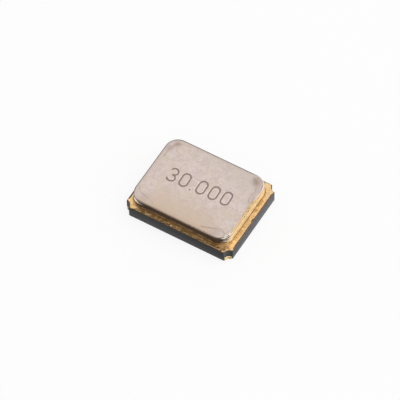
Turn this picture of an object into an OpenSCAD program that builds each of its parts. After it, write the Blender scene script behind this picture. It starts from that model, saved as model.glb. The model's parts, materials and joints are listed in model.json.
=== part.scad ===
// Surface mount quartz crystal in a seam-welded ceramic package, in millimetres.
//
// The origin is at the middle of the seating plane, under the four terminals. +X runs along the
// package's long side and +Z up through the lid. Terminal 1 is at -X -Y, and the terminals count
// counter-clockwise as seen from above. The blank is held at its -X end.

/* [Package] */
// Length of the ceramic package along X
base_l = 3.2; // [2.6:0.1:4.2]
// Width of the ceramic package along Y
base_w = 2.5; // [2:0.1:3.4]
// Thickness of the ceramic layer that is the floor
floor_h = 0.12; // [0.1:0.01:0.2]
// Height of the ceramic wall above the floor
wall_h = 0.225; // [0.16:0.005:0.3]
// Thickness of the ceramic wall at each end of the cavity
end_wall = 0.43; // [0.34:0.01:0.55]
// Thickness of the ceramic wall along each side of the cavity
side_wall = 0.42; // [0.34:0.01:0.55]
// Corner radius of the cavity
cavity_r = 0.12; // [0.05:0.01:0.2]
// Radius of the quarter-round notch at each corner
castellation_r = 0.17; // [0.12:0.01:0.22]

/* [Cavity steps] */
// Height above the floor of the two steps that carry the blank
step_h = 0.1; // [0.06:0.005:0.14]
// Length of the step at the clamped end
mount_step_l = 0.48; // [0.4:0.01:0.6]
// Length of the step at the free end
rest_step_l = 0.26; // [0.18:0.01:0.36]

/* [Terminals] */
// Length of a terminal pad along X
pad_l = 0.95; // [0.75:0.01:1.1]
// Width of a terminal pad along Y
pad_w = 0.8; // [0.65:0.01:0.9]
// Thickness of a terminal's metal, on the underside and in the notch
pad_h = 0.015; // [0.01:0.001:0.03]
// Bare ceramic between a terminal pad and the package's edge
pad_inset = 0.08; // [0.05:0.01:0.12]
// Width of the terminal's collar round its notch
collar_w = 0.06; // [0.03:0.01:0.1]
// Bare ceramic left at each edge of a notch
coat_gap = 0.02; // [0.01:0.005:0.04]
// Size of the corner cut off terminal 1 as its mark
index_cut = 0.25; // [0.1:0.01:0.4]

/* [Seal] */
// Thickness of the metallised seal frame
metal_h = 0.015; // [0.01:0.001:0.03]
// Bare ceramic outside the seal frame
frame_margin = 0.045; // [0.02:0.005:0.05]
// Bare ceramic inside the seal frame
frame_inner_margin = 0.02; // [0.01:0.005:0.04]
// Place along Y of the nick in the seal frame's +X edge
nick_y = 0.02; // [-0.5:0.01:0.5]
// Width of the nick
nick_w = 0.09; // [0.04:0.01:0.2]
// Depth of the nick
nick_d = 0.03; // [0.01:0.005:0.04]
// Thickness of the braze under the seal ring
braze_h = 0.015; // [0.01:0.001:0.03]
// Width of the braze fillet at the foot of the ring
fillet_w = 0.035; // [0.015:0.005:0.04]
// Height of the braze fillet above the seal frame
fillet_h = 0.05; // [0.025:0.005:0.1]
// Height of the seal ring
ring_h = 0.21; // [0.12:0.01:0.3]
// Width of the seal ring's metal
ring_t = 0.25; // [0.2:0.01:0.3]
// Distance from the package's end to the ring, were the ring centred
ring_inset_x = 0.13; // [0.125:0.005:0.18]
// Distance from the package's side to the ring
ring_inset_y = 0.12; // [0.085:0.005:0.16]
// How far the ring was brazed off centre, along X
ring_shift = -0.04; // [-0.045:0.005:0.045]
// Outer corner radius of the seal ring
ring_r = 0.37; // [0.3:0.01:0.45]

/* [Lid] */
// Thickness of the lid
lid_h = 0.1; // [0.08:0.005:0.15]
// How far the lid's edge stands in from the ring's wall
lid_setback = 0.008; // [0:0.001:0.02]
// Width of the band that the seam welding pressed down
weld_band = 0.13; // [0.08:0.01:0.18]
// How far that band falls towards the lid's edge
weld_fall = 0.012; // [0.004:0.001:0.02]
// Radius of the lid's molten and rounded edge
edge_r = 0.025; // [0.01:0.001:0.04]

/* [Blank] */
// Nominal frequency in MHz, which sets the thickness of an AT-cut blank
frequency = 30; // [16:1:54]
// Gap between the blank's clamped end and the cavity wall
clamp_end_gap = 0.12; // [0.1:0.01:0.16]
// Gap between the blank's free end and the cavity wall
free_end_gap = 0.1; // [0.06:0.01:0.15]
// Gap between the blank and each side wall of the cavity
side_gap = 0.13; // [0.08:0.01:0.2]
// Thickness of the electrode films, drawn thicker than the real deposit
film_h = 0.005; // [0.003:0.001:0.01]
// Bare quartz between the electrode and the blank's clamped end
electrode_clamp_margin = 0.42; // [0.34:0.01:0.5]
// Bare quartz between the electrode and the blank's free end
electrode_free_margin = 0.26; // [0.15:0.01:0.35]
// Bare quartz between the electrode and each side of the blank
electrode_side_margin = 0.2; // [0.12:0.01:0.3]
// Corner radius of an electrode
electrode_r = 0.08; // [0.03:0.01:0.12]
// Width of an electrode's tab
tab_w = 0.3; // [0.28:0.01:0.36]
// How far a tab folds back under the blank's clamped end
tab_fold = 0.24; // [0.24:0.01:0.3]

/* [Mounting] */
// Distance from the blank's clamped end to the middle of an adhesive dot
dot_inset = 0.07; // [0.05:0.01:0.09]
// Distance from the blank's side to the middle of an adhesive dot
dot_side = 0.22; // [0.2:0.01:0.26]
// Radius of an adhesive dot at its foot
dot_r = 0.15; // [0.1:0.01:0.15]
// Radius of an adhesive dot at its top
dot_top_r = 0.11; // [0.08:0.01:0.12]
// Thickness of the adhesive under the blank
dot_h = 0.035; // [0.02:0.005:0.06]
// Height of the adhesive over the blank
dot_cap = 0.03; // [0.02:0.005:0.05]
// Gap between a mounting pad and the cavity wall at the clamped end
mount_gap = 0.03; // [0.02:0.005:0.05]
// Length of a mounting pad along X
mount_l = 0.32; // [0.3:0.01:0.36]
// Width of a mounting pad along Y
mount_w = 0.4; // [0.34:0.01:0.44]
// Thickness of the mounting pads and of the pillow
print_h = 0.015; // [0.01:0.001:0.02]
// Corner radius of the mounting pads and of the pillow
print_r = 0.04; // [0.02:0.01:0.05]
// Length of the pillow along X
pillow_l = 0.14; // [0.08:0.01:0.16]
// Bare ceramic from each end of the pillow to the cavity's side
pillow_margin = 0.38; // [0.25:0.01:0.45]

/* [Leads] */
// Radius of the vias
via_r = 0.05; // [0.03:0.005:0.06]
// Width of the buried track
track_w = 0.14; // [0.13:0.01:0.2]
// Thickness of the buried track
track_h = 0.015; // [0.01:0.001:0.02]
// Distance from the cavity's free end back to the track's far via
far_via_inset = 0.14; // [0.1:0.01:0.2]
// Distance from the package's end to a ground via
ground_via_x = 0.24; // [0.2:0.01:0.26]
// Distance from the package's side to a ground via
ground_via_y = 0.22; // [0.19:0.01:0.24]

/* [Hidden] */
$fn = 48;

// Thickness in mm of an AT-cut blank that resonates at 1 MHz
AT_CUT = 1.66;
// How far a cut runs past the face that it opens
past = 0.1;

// Heights of the stack, from the seating plane up
z_ceramic = pad_h;
z_floor = z_ceramic + floor_h;
z_step = z_floor + step_h;
z_wall = z_floor + wall_h;
z_metal = z_wall + metal_h;
z_ring = z_metal + braze_h;
z_lid = z_ring + ring_h;
z_print = z_step + print_h;
z_film = z_print + dot_h;
z_blank = z_film + film_h;
blank_h = AT_CUT / frequency;

// Cavity and ring
cavity_l = base_l - 2 * end_wall;
cavity_w = base_w - 2 * side_wall;
ring_l = base_l - 2 * ring_inset_x;
ring_w = base_w - 2 * ring_inset_y;
// Width of the braze fillet, which ends at the seal frame's edge where its ledge is narrow
fillet = min(fillet_w, ring_inset_x - abs(ring_shift) - frame_margin, ring_inset_y - frame_margin);

// Blank, from its clamped end at -X
blank_x = -cavity_l / 2 + clamp_end_gap;
blank_l = cavity_l - clamp_end_gap - free_end_gap;
blank_w = cavity_w - 2 * side_gap;

// Middle of an adhesive dot and of the via under it
dot_x = blank_x + dot_inset;
dot_y = blank_w / 2 - dot_side;

// ---- Shapes that several pieces share ----

// Rectangle with round corners, about the origin
module rounded(l, w, r) {
    square([l - 2 * r, w], center = true);
    square([l, w - 2 * r], center = true);
    for (x = [-1, 1], y = [-1, 1])
        translate([x * (l / 2 - r), y * (w / 2 - r)]) circle(r);
}

// Outline of the package, or one that stands in from it by an even margin
module package_outline(margin = 0) {
    difference() {
        square([base_l - 2 * margin, base_w - 2 * margin], center = true);
        for (x = [-1, 1], y = [-1, 1])
            translate([x * base_l / 2, y * base_w / 2]) circle(castellation_r + margin);
    }
}

// Outline of the seal ring, grown or shrunk evenly
module ring_outline(grow = 0) {
    translate([ring_shift, 0]) rounded(ring_l + 2 * grow, ring_w + 2 * grow, ring_r + grow);
}

// Carries a section round a rounded rectangle: the section's x points outwards from the edge
module round_the_edge(l, w, r) {
    for (x = [0, 1], y = [0, 1])
        mirror([x, 0, 0]) mirror([0, y, 0]) translate([l / 2 - r, w / 2 - r, 0])
            rotate_extrude(angle = 90) translate([r, 0]) children();
    for (turn = [0, 180]) rotate(turn) {
        translate([r - l / 2, w / 2, 0]) rotate([90, 0, 90]) linear_extrude(l - 2 * r) children();
        translate([l / 2, w / 2 - r, 0]) rotate([90, 0, 0]) linear_extrude(w - 2 * r) children();
    }
}

// Puts a shape drawn for the +X +Y corner at another corner, with its own origin on that corner
module at_corner(x, y) {
    mirror([x < 0 ? 1 : 0, 0, 0]) mirror([0, y < 0 ? 1 : 0, 0])
        translate([base_l / 2, base_w / 2, 0]) children();
}

// ---- Ceramic ----

// Co-fired ceramic body: a notched block with a stepped cavity, and channels for its leads
module ceramic_base() {
    pit_l = cavity_l - mount_step_l - rest_step_l;
    pit_x = (mount_step_l - rest_step_l) / 2;
    color([0.24, 0.24, 0.24]) difference() {
        translate([0, 0, z_ceramic]) linear_extrude(floor_h + wall_h) package_outline();
        translate([0, 0, z_step])
            linear_extrude(wall_h - step_h + past) rounded(cavity_l, cavity_w, cavity_r);
        translate([pit_x, 0, z_floor])
            linear_extrude(step_h + past) rounded(pit_l, cavity_w, cavity_r);
        signal_lead_near(past);
        signal_lead_far(past);
        for (x = [-1, 1]) ground_via(x, -x, past);
    }
}

// ---- Seal: metallised frame, braze, ring and lid ----

// Gold-plated frame on top of the wall, with a nick in its +X edge
module seal_metallisation() {
    color([0.87, 0.72, 0.5]) translate([0, 0, z_wall]) linear_extrude(metal_h) difference() {
        package_outline(frame_margin);
        rounded(cavity_l + 2 * frame_inner_margin, cavity_w + 2 * frame_inner_margin,
                cavity_r + frame_inner_margin);
        translate([base_l / 2 - frame_margin - nick_d, nick_y - nick_w / 2])
            square([nick_d + past, nick_w]);
    }
}

// Braze under the ring, with a hollow fillet round its outer foot
module braze() {
    steps = 6;
    section = [
        [0, 0],
        for (i = [0 : steps])
            let (a = 90 * i / steps) [fillet * (1 - sin(a)), fillet_h * (1 - cos(a))]
    ];
    color([0.8, 0.64, 0.38]) translate([0, 0, z_metal]) {
        linear_extrude(braze_h) difference() {
            ring_outline();
            ring_outline(-ring_t);
        }
        translate([ring_shift, 0, 0]) round_the_edge(ring_l, ring_w, ring_r) polygon(section);
    }
}

// Gold-plated seal ring
module seal_ring() {
    color([0.86, 0.7, 0.44]) translate([0, 0, z_ring]) linear_extrude(ring_h) difference() {
        ring_outline();
        ring_outline(-ring_t);
    }
}

// Nickel-plated lid, whose edge the seam welding pressed down and rounded
module lid() {
    steps = 4;
    l = ring_l - 2 * lid_setback;
    w = ring_w - 2 * lid_setback;
    r = ring_r - lid_setback;
    shoulder = lid_h - weld_fall - edge_r;
    section = [
        [-weld_band, 0],
        [0, 0],
        for (i = [0 : steps])
            let (a = 90 * i / steps) [edge_r * (cos(a) - 1), shoulder + edge_r * sin(a)],
        [-weld_band, lid_h]
    ];
    color([0.82, 0.77, 0.73]) translate([ring_shift, 0, z_lid]) {
        linear_extrude(lid_h) rounded(l - 2 * weld_band, w - 2 * weld_band, r - weld_band);
        round_the_edge(l, w, r) polygon(section);
    }
}

// ---- Terminals ----

// One terminal: a pad under the corner, joined by a collar to its coat in the notch
module terminal(x, y, cut = 0) {
    reach = [pad_inset + pad_l, pad_inset + pad_w];
    color([0.9, 0.78, 0.55]) at_corner(x, y) {
        linear_extrude(pad_h) difference() {
            intersection() {
                translate(-reach) square([reach.x - coat_gap, reach.y - coat_gap]);
                union() {
                    translate(-reach) square([pad_l, pad_w]);
                    circle(castellation_r + collar_w);
                }
            }
            circle(castellation_r - pad_h);
            if (cut > 0) translate(-reach) rotate(45) square(cut * sqrt(2), center = true);
        }
        linear_extrude(z_floor) intersection() {
            translate(-reach) square([reach.x - coat_gap, reach.y - coat_gap]);
            difference() {
                circle(castellation_r);
                circle(castellation_r - pad_h);
            }
        }
    }
}

module terminal_1() { terminal(-1, -1, index_cut); }
module terminal_2() { terminal(1, -1); }
module terminal_3() { terminal(1, 1); }
module terminal_4() { terminal(-1, 1); }

// ---- Leads inside the ceramic ----

// Lead straight down from a mounting pad to terminal 1
module signal_lead_near(past = 0) {
    translate([dot_x, -dot_y, z_ceramic - past])
        cylinder(h = z_step - z_ceramic + 2 * past, r = via_r);
}

// Lead from the other mounting pad down to the floor, along it, and down to terminal 3
module signal_lead_far(past = 0) {
    far_x = cavity_l / 2 - far_via_inset;
    translate([dot_x, dot_y, z_floor]) cylinder(h = step_h + past, r = via_r);
    translate([0, dot_y, z_floor]) linear_extrude(track_h)
        track_outline(dot_x, far_x);
    translate([far_x, dot_y, z_ceramic - past])
        cylinder(h = floor_h + track_h + past, r = via_r);
}

// Track with round ends between two places along X
module track_outline(from_x, to_x) {
    translate([from_x, -track_w / 2]) square([to_x - from_x, track_w]);
    for (x = [from_x, to_x]) translate([x, 0]) circle(d = track_w);
}

// Via that ties the seal frame to a ground terminal
module ground_via(x, y, past = 0) {
    at_corner(x, y) translate([-ground_via_x, -ground_via_y, z_ceramic - past])
        cylinder(h = floor_h + wall_h + 2 * past, r = via_r);
}

module signal_lead_1() { color([0.5, 0.5, 0.52]) signal_lead_near(); }
module signal_lead_3() { color([0.5, 0.5, 0.52]) signal_lead_far(); }
module ground_via_2() { color([0.5, 0.5, 0.52]) ground_via(1, -1); }
module ground_via_4() { color([0.5, 0.5, 0.52]) ground_via(-1, 1); }

// ---- Mounting of the blank ----

// Gold-plated pad on the clamped end's step, on the -Y or +Y side
module mounting_pad(side) {
    color([0.9, 0.75, 0.45])
        translate([mount_gap + (mount_l - cavity_l) / 2, side * dot_y, z_step])
            linear_extrude(print_h) rounded(mount_l, mount_w, print_r);
}

// Low print on the free end's step, which the blank hangs just above
module pillow() {
    color([0.9, 0.75, 0.45]) translate([(cavity_l - rest_step_l) / 2, 0, z_step])
        linear_extrude(print_h) rounded(pillow_l, cavity_w - 2 * pillow_margin, print_r);
}

// Conductive adhesive that rises round the blank's end, on the -Y or +Y side
module adhesive_dot(side) {
    h = dot_h + blank_h + 2 * film_h + dot_cap;
    color([0.75, 0.75, 0.76]) difference() {
        translate([dot_x, side * dot_y, z_print]) cylinder(h = h, r1 = dot_r, r2 = dot_top_r);
        translate([blank_x - film_h, side * dot_y - dot_r - past, z_film])
            cube([blank_l, 2 * (dot_r + past), blank_h + 2 * film_h]);
    }
}

module mounting_pad_1() { mounting_pad(-1); }
module mounting_pad_3() { mounting_pad(1); }
module adhesive_dot_1() { adhesive_dot(-1); }
module adhesive_dot_3() { adhesive_dot(1); }

// ---- Quartz blank and its electrodes ----

// AT-cut blank
module quartz_blank() {
    color([0.86, 0.9, 0.92]) translate([blank_x, -blank_w / 2, z_blank])
        cube([blank_l, blank_w, blank_h]);
}

// Electrode drawn on top of the blank, with its tab over the +Y side's dot.
// The origin is at the middle of the blank's thickness.
module electrode() {
    from_x = blank_x + electrode_clamp_margin;
    to_x = blank_x + blank_l - electrode_free_margin;
    w = blank_w - 2 * electrode_side_margin;
    tab_l = electrode_clamp_margin + 2 * electrode_r;
    color([0.93, 0.83, 0.55]) {
        translate([0, 0, blank_h / 2]) linear_extrude(film_h) {
            translate([(from_x + to_x) / 2, 0]) rounded(to_x - from_x, w, electrode_r);
            translate([blank_x - film_h, dot_y - tab_w / 2]) square([tab_l + film_h, tab_w]);
        }
        translate([blank_x - film_h, dot_y - tab_w / 2, -blank_h / 2 - film_h])
            cube([film_h, tab_w, blank_h + 2 * film_h]);
        translate([blank_x - film_h, dot_y - tab_w / 2, -blank_h / 2 - film_h])
            cube([tab_fold + film_h, tab_w, film_h]);
    }
}

module electrode_upper() {
    translate([0, 0, z_blank + blank_h / 2]) electrode();
}

module electrode_lower() {
    translate([0, 0, z_blank + blank_h / 2]) mirror([0, 1, 0]) mirror([0, 0, 1]) electrode();
}

ceramic_base();
seal_metallisation();
braze();
seal_ring();
lid();
terminal_1();
terminal_2();
terminal_3();
terminal_4();
signal_lead_1();
signal_lead_3();
ground_via_2();
ground_via_4();
mounting_pad_1();
mounting_pad_3();
pillow();
adhesive_dot_1();
adhesive_dot_3();
quartz_blank();
electrode_lower();
electrode_upper();
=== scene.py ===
"""Looks of a surface mount quartz crystal: a seam-welded lid on a gold-plated ceramic package.

Lengths are in millimetres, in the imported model's frame, until a mesh is made from them.
"""

import json
import logging
import math
from dataclasses import dataclass
from enum import Enum
from typing import Any, Callable, Protocol, Sequence

import bmesh
import bpy
import numpy as np
from mathutils import Matrix, Vector, geometry, noise

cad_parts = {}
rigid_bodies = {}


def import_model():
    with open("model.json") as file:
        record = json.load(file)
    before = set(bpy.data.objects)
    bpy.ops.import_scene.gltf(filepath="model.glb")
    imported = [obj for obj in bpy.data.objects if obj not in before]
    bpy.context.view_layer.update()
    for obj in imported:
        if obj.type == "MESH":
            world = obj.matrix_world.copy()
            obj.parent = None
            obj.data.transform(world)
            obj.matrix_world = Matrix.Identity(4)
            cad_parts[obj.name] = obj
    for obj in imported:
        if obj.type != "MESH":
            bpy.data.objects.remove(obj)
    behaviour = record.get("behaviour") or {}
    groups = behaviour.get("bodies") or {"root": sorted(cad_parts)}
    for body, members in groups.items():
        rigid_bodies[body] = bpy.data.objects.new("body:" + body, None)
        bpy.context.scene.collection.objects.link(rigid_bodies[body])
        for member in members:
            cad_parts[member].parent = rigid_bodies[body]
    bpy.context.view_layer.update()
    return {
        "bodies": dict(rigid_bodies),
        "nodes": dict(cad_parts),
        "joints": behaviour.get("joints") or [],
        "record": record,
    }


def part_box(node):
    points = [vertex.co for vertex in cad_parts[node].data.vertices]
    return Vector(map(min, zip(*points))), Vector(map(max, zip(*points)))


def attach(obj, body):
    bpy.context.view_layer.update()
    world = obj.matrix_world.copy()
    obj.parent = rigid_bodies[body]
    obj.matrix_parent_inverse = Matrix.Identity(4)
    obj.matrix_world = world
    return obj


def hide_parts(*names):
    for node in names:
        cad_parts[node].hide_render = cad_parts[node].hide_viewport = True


LOG = logging.getLogger("crystal")
Colour = tuple[float, float, float, float]

MM = 0.001  # metres
AROUND = 760  # points round the lid, the ring and the braze
RING_CORNER = 0.37  # radius of the seal ring's outer corners
RING_METAL = 0.25  # thickness of the seal ring's wall


def swatch(red: int, green: int, blue: int) -> Colour:
    """Shader colour of an 8-bit swatch.

    Args:
        red: Red, from 0 to 255.
        green: Green, from 0 to 255.
        blue: Blue, from 0 to 255.

    Returns:
        The linear colour, with full opacity.
    """
    parts = [c / 255 for c in (red, green, blue)]
    lit = [c / 12.92 if c <= 0.04045 else ((c + 0.055) / 1.055) ** 2.4 for c in parts]
    return (lit[0], lit[1], lit[2], 1.0)


# ---- Node trees ----


class Value:
    """A number that a node gives out. Arithmetic on it adds Math nodes."""

    def __init__(self, graph: "Graph", socket: bpy.types.NodeSocket) -> None:
        """Wraps a socket of the graph."""
        self.graph = graph
        self.socket = socket

    def __add__(self, other: "Value | float") -> "Value":
        """Adds another value."""
        return self.graph.math("ADD", self, other)

    __radd__ = __add__

    def __mul__(self, other: "Value | float") -> "Value":
        """Multiplies by another value."""
        return self.graph.math("MULTIPLY", self, other)

    __rmul__ = __mul__

    def __sub__(self, other: "Value | float") -> "Value":
        """Takes another value away."""
        return self.graph.math("SUBTRACT", self, other)

    def __rsub__(self, other: "Value | float") -> "Value":
        """Takes this value away from another."""
        return self.graph.math("SUBTRACT", other, self)

    def clamp(self) -> "Value":
        """Keeps the value between 0 and 1."""
        return self.graph.math("MINIMUM", self.graph.math("MAXIMUM", self, 0.0), 1.0)

    def rise(self, low: float, high: float) -> "Value":
        """Goes smoothly from 0 at low to 1 at high.

        Args:
            low: Value that gives 0.
            high: Value that gives 1. It may be the smaller of the two.

        Returns:
            The smooth step.
        """
        node = self.graph.add(
            "ShaderNodeMapRange",
            {"interpolation_type": "SMOOTHSTEP"},
            {"Value": self, "From Min": low, "From Max": high},
        )
        return Value(self.graph, node.outputs["Result"])


class Graph:
    """The nodes of one material, world or geometry tree."""

    def __init__(self, tree: bpy.types.NodeTree) -> None:
        """Empties the tree and takes it over."""
        self.tree = tree
        tree.nodes.clear()

    def add(
        self,
        kind: str,
        settings: dict[str, Any] | None = None,
        sockets: dict[str | int, Any] | None = None,
    ) -> bpy.types.Node:
        """Adds a node.

        Args:
            kind: The node's type.
            settings: The node's own properties, set first.
            sockets: Values or links of its inputs, by name or number.

        Returns:
            The node.
        """
        node = self.tree.nodes.new(kind)
        for name, value in (settings or {}).items():
            setattr(node, name, value)
        for key, value in (sockets or {}).items():
            if isinstance(value, Value):
                value = value.socket
            if isinstance(value, bpy.types.NodeSocket):
                self.tree.links.new(value, node.inputs[key])
            else:
                node.inputs[key].default_value = value
        return node

    def math(self, operation: str, *values: "Value | float") -> Value:
        """Adds a Math node on up to three values."""
        node = self.add("ShaderNodeMath", {"operation": operation}, dict(enumerate(values)))
        return Value(self, node.outputs[0])

    def place(
        self, stretch: Sequence[float] = (1, 1, 1), shift: float = 0.0
    ) -> bpy.types.NodeSocket:
        """Object coordinates in millimetres.

        Args:
            stretch: How much finer a pattern is along each axis.
            shift: How far a pattern is moved along every axis.

        Returns:
            The socket with the coordinates.
        """
        source = self.add("ShaderNodeTexCoord").outputs["Object"]
        scale = [s / MM for s in stretch]
        sockets = {"Vector": source, "Scale": scale, "Location": (shift, shift, shift)}
        return self.add("ShaderNodeMapping", sockets=sockets).outputs["Vector"]

    def along(self, axis: str) -> Value:
        """One object coordinate, in millimetres."""
        node = self.add("ShaderNodeSeparateXYZ", sockets={"Vector": self.place()})
        return Value(self, node.outputs[axis])

    def speckle(
        self,
        scale: float,
        detail: float = 2.0,
        stretch: Sequence[float] = (1, 1, 1),
        shift: float = 0.0,
    ) -> Value:
        """Noise around one half, at a scale per millimetre.

        Args:
            scale: Spots per millimetre.
            detail: Finer octaves.
            stretch: How much finer the noise is along each axis.
            shift: Moves the noise, so that two layers differ.

        Returns:
            The noise.
        """
        sockets = {"Vector": self.place(stretch, shift), "Scale": scale, "Detail": detail}
        return Value(self, self.add("ShaderNodeTexNoise", sockets=sockets).outputs["Fac"])

    def layer(self, name: str) -> Value:
        """The mesh's own number layer of that name."""
        node = self.add("ShaderNodeAttribute", {"attribute_name": name})
        return Value(self, node.outputs["Fac"])

    def mix(self, mask: "Value | float", below: Any, above: Any) -> bpy.types.NodeSocket:
        """Lays one colour over another.

        Args:
            mask: How much of the upper colour shows.
            below: Colour or link underneath.
            above: Colour or link on top.

        Returns:
            The socket with the colour.
        """
        node = self.add("ShaderNodeMix", {"data_type": "RGBA"}, {0: mask, 6: below, 7: above})
        return node.outputs[2]

    def coats(self, ground: Any, *coats: tuple[Value, Any]) -> bpy.types.NodeSocket:
        """Lays coats over a colour, one after another.

        Args:
            ground: Colour or link of the ground.
            coats: For each coat, how much of it shows and its colour.

        Returns:
            The socket with the colour.
        """
        for mask, coat in coats:
            ground = self.mix(mask, ground, coat)
        return ground

    def relief(self, *grains: tuple[Value, float]) -> bpy.types.NodeSocket:
        """Bumps that lie one over another.

        Args:
            grains: For each bump, its height between 0 and 1, and the depth of a height of 1.

        Returns:
            The socket with the normal.
        """
        sockets: dict[str | int, Any] = {"Strength": 1.0}
        for height, depth in grains:
            sockets |= {"Distance": depth * MM, "Height": height}
            sockets["Normal"] = self.add("ShaderNodeBump", sockets=sockets).outputs["Normal"]
        return sockets["Normal"]

    def surface(
        self,
        colour: Any,
        roughness: Any,
        normal: Any,
        metallic: float = 1.0,
        others: dict[str | int, Any] | None = None,
    ) -> bpy.types.NodeSocket:
        """Adds the main shader.

        Args:
            colour: Its base colour.
            roughness: Its roughness.
            normal: Its normal.
            metallic: How metallic it is.
            others: Other inputs, by name.

        Returns:
            The shader's socket.
        """
        sockets = {"Base Color": colour, "Metallic": metallic, "Roughness": roughness}
        sockets |= {"Normal": normal, **(others or {})}
        return self.add("ShaderNodeBsdfPrincipled", sockets=sockets).outputs[0]


def surfaced(name: str, shade: Callable[[Graph], bpy.types.NodeSocket]) -> bpy.types.Material:
    """Makes a material.

    Args:
        name: Its name.
        shade: Adds the material's nodes and gives back the shader's socket.

    Returns:
        The material.
    """
    made = bpy.data.materials.new(name)
    made.use_nodes = True
    graph = Graph(made.node_tree)
    graph.add("ShaderNodeOutputMaterial", sockets={"Surface": shade(graph)})
    return made


# ---- Finishes ----


@dataclass(frozen=True)
class Finish:
    """A finish, which makes its own material."""

    name: str

    def shade(self, graph: Graph) -> bpy.types.NodeSocket:
        """Adds the finish's nodes.

        Args:
            graph: The material's nodes.

        Returns:
            The shader's socket.
        """
        raise NotImplementedError

    def material(self) -> bpy.types.Material:
        """The finish's material, made once.

        Returns:
            The material.
        """
        if self not in MADE:
            MADE[self] = surfaced(self.name, self.shade)
        return MADE[self]


MADE: dict[Finish, bpy.types.Material] = {}


@dataclass(frozen=True)
class NickelLid(Finish):
    """Satin nickel plate, with weld tracks near the edge and a marked number. Its edge carries
    painted shade on the long sides and far edges, and painted highlights on the melt and on the
    front corner's streaks.
    """

    plate: Colour = swatch(217, 202, 198)
    shade_plate: Colour = swatch(199, 183, 174)
    sallow_plate: Colour = swatch(211, 196, 177)
    warm_plate: Colour = swatch(203, 181, 161)
    cool_plate: Colour = swatch(197, 183, 175)
    mark: Colour = swatch(128, 110, 103)
    track: Colour = swatch(146, 124, 108)
    stain: Colour = swatch(138, 110, 94)
    rim_gold: Colour = swatch(206, 180, 144)
    rim_side: Colour = swatch(240, 208, 157)
    # painted shade: dark brown on the lid's rounded edge and side along the long sides and at the
    # front corners
    rim_painted_shade: Colour = swatch(80, 62, 46)
    rim_grey: Colour = swatch(122, 115, 112)
    # near-white melt colour: partly the weld's silvery melt, partly a painted highlight
    melt: Colour = swatch(246, 243, 238)
    mottle_scale: float = 8.0
    fine_scale: float = 26.0
    grain_scale: float = 90.0
    cloud_scale: float = 3.2
    roughness: float = 0.36
    mark_roughness: float = 0.12
    melt_gloss: float = 0.2
    rim_roughness: float = 0.22
    painted_shade_gloss: float = 0.32
    fine_depth: float = 0.0016
    grain_depth: float = 0.0007

    def shade(self, graph: Graph) -> bpy.types.NodeSocket:
        """Adds the finish's nodes.

        Args:
            graph: The material's nodes.

        Returns:
            The shader's socket.
        """
        mottle = graph.speckle(self.mottle_scale, 4.0)
        fine = graph.speckle(self.fine_scale, 3.0, shift=7.0)
        grain = graph.speckle(self.grain_scale, 2.0, shift=3.0)
        cloud = graph.speckle(self.cloud_scale, 3.0, shift=13.0)
        painted_shade, melt, mark = (graph.layer(name) for name in ("painted_shade", "melt", "mark"))
        rim = (graph.layer("rim") + (fine - 0.5) * 0.5).rise(0.4, 0.6)
        side = graph.coats(
            self.rim_gold,
            (graph.layer("side"), self.rim_side),
            # painted shade along the long sides, a little on the +X side, and at the front corners
            ((painted_shade + (mottle - 0.5)).rise(0.3, 0.7), self.rim_painted_shade),
            (graph.layer("grey"), self.rim_grey),
            # painted highlights: bright streaks along the edge at the front corner
            (graph.layer("fold_highlight"), self.melt),
        )
        colour = graph.coats(
            self.shade_plate,
            ((mottle * 0.45 + fine * 0.55).rise(0.38, 0.62), self.plate),
            (cloud.rise(0.42, 0.66) * 0.45, self.sallow_plate),
            (graph.layer("warm") * 0.8, self.warm_plate),
            # cooler tone in two zones, and painted shade along the bare far edges
            (graph.layer("cool_and_far_shade") * 0.9, self.cool_plate),
            ((graph.layer("stain") * (0.35 + mottle)).clamp(), self.stain),
            ((graph.layer("track") * (0.3 + fine * 0.9)).clamp(), self.track),
            (rim, side),
            # melt's roll, whose near-white colour is partly a painted highlight
            (melt * 0.8, self.melt),
            (mark * 0.9, self.mark),
        )
        rough = self.roughness + (fine - 0.5) * 0.12 + mark * self.mark_roughness
        rough = rough - melt * self.melt_gloss
        rough = rough + rim * (self.rim_roughness - painted_shade * self.painted_shade_gloss)
        normal = graph.relief((fine, self.fine_depth), (grain, self.grain_depth))
        return graph.surface(colour, rough, normal)


@dataclass(frozen=True)
class GoldPlate(Finish):
    """Gold plate over a sintered or etched ground."""

    bright: Colour = swatch(245, 206, 150)
    deep: Colour = swatch(230, 191, 135)
    # colour of tarnish spots and of painted shade
    tarnish_and_shade: Colour = swatch(148, 117, 72)
    worn: Colour = swatch(200, 180, 150)
    mottle_scale: float = 11.0
    fine_scale: float = 45.0
    pore_scale: float = 110.0
    roughness: float = 0.27
    grain: float = 0.0012
    pore: float = 0.4
    tarnish_share: float = 0.2

    def shade(self, graph: Graph) -> bpy.types.NodeSocket:
        """Adds the finish's nodes.

        Args:
            graph: The material's nodes.

        Returns:
            The shader's socket.
        """
        mottle = graph.speckle(self.mottle_scale, 4.0)
        fine = graph.speckle(self.fine_scale, 3.0, shift=5.0)
        pores = graph.speckle(self.pore_scale, 2.0, shift=11.0)
        share = self.tarnish_share * (0.25 + graph.layer("rough") * 0.75)
        spots = (mottle * 0.5 + fine * 0.5).rise(0.5, 0.4) * share
        # tarnish and painted shade from the mesh's layer, broken up by noise
        spots = (spots + graph.layer("tarnish_and_shade") * mottle.rise(0.62, 0.36) * 1.6).clamp()
        colour = graph.coats(
            self.deep,
            (mottle.rise(0.38, 0.62), self.bright),
            (graph.layer("worn") * (0.15 + mottle), self.worn),
            (spots, self.tarnish_and_shade),
        )
        rough = self.roughness + (fine - 0.5) * 0.2 + spots * 0.15
        normal = graph.relief((fine, self.grain), (pores, self.grain * self.pore))
        return graph.surface(colour, rough, normal)


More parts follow.
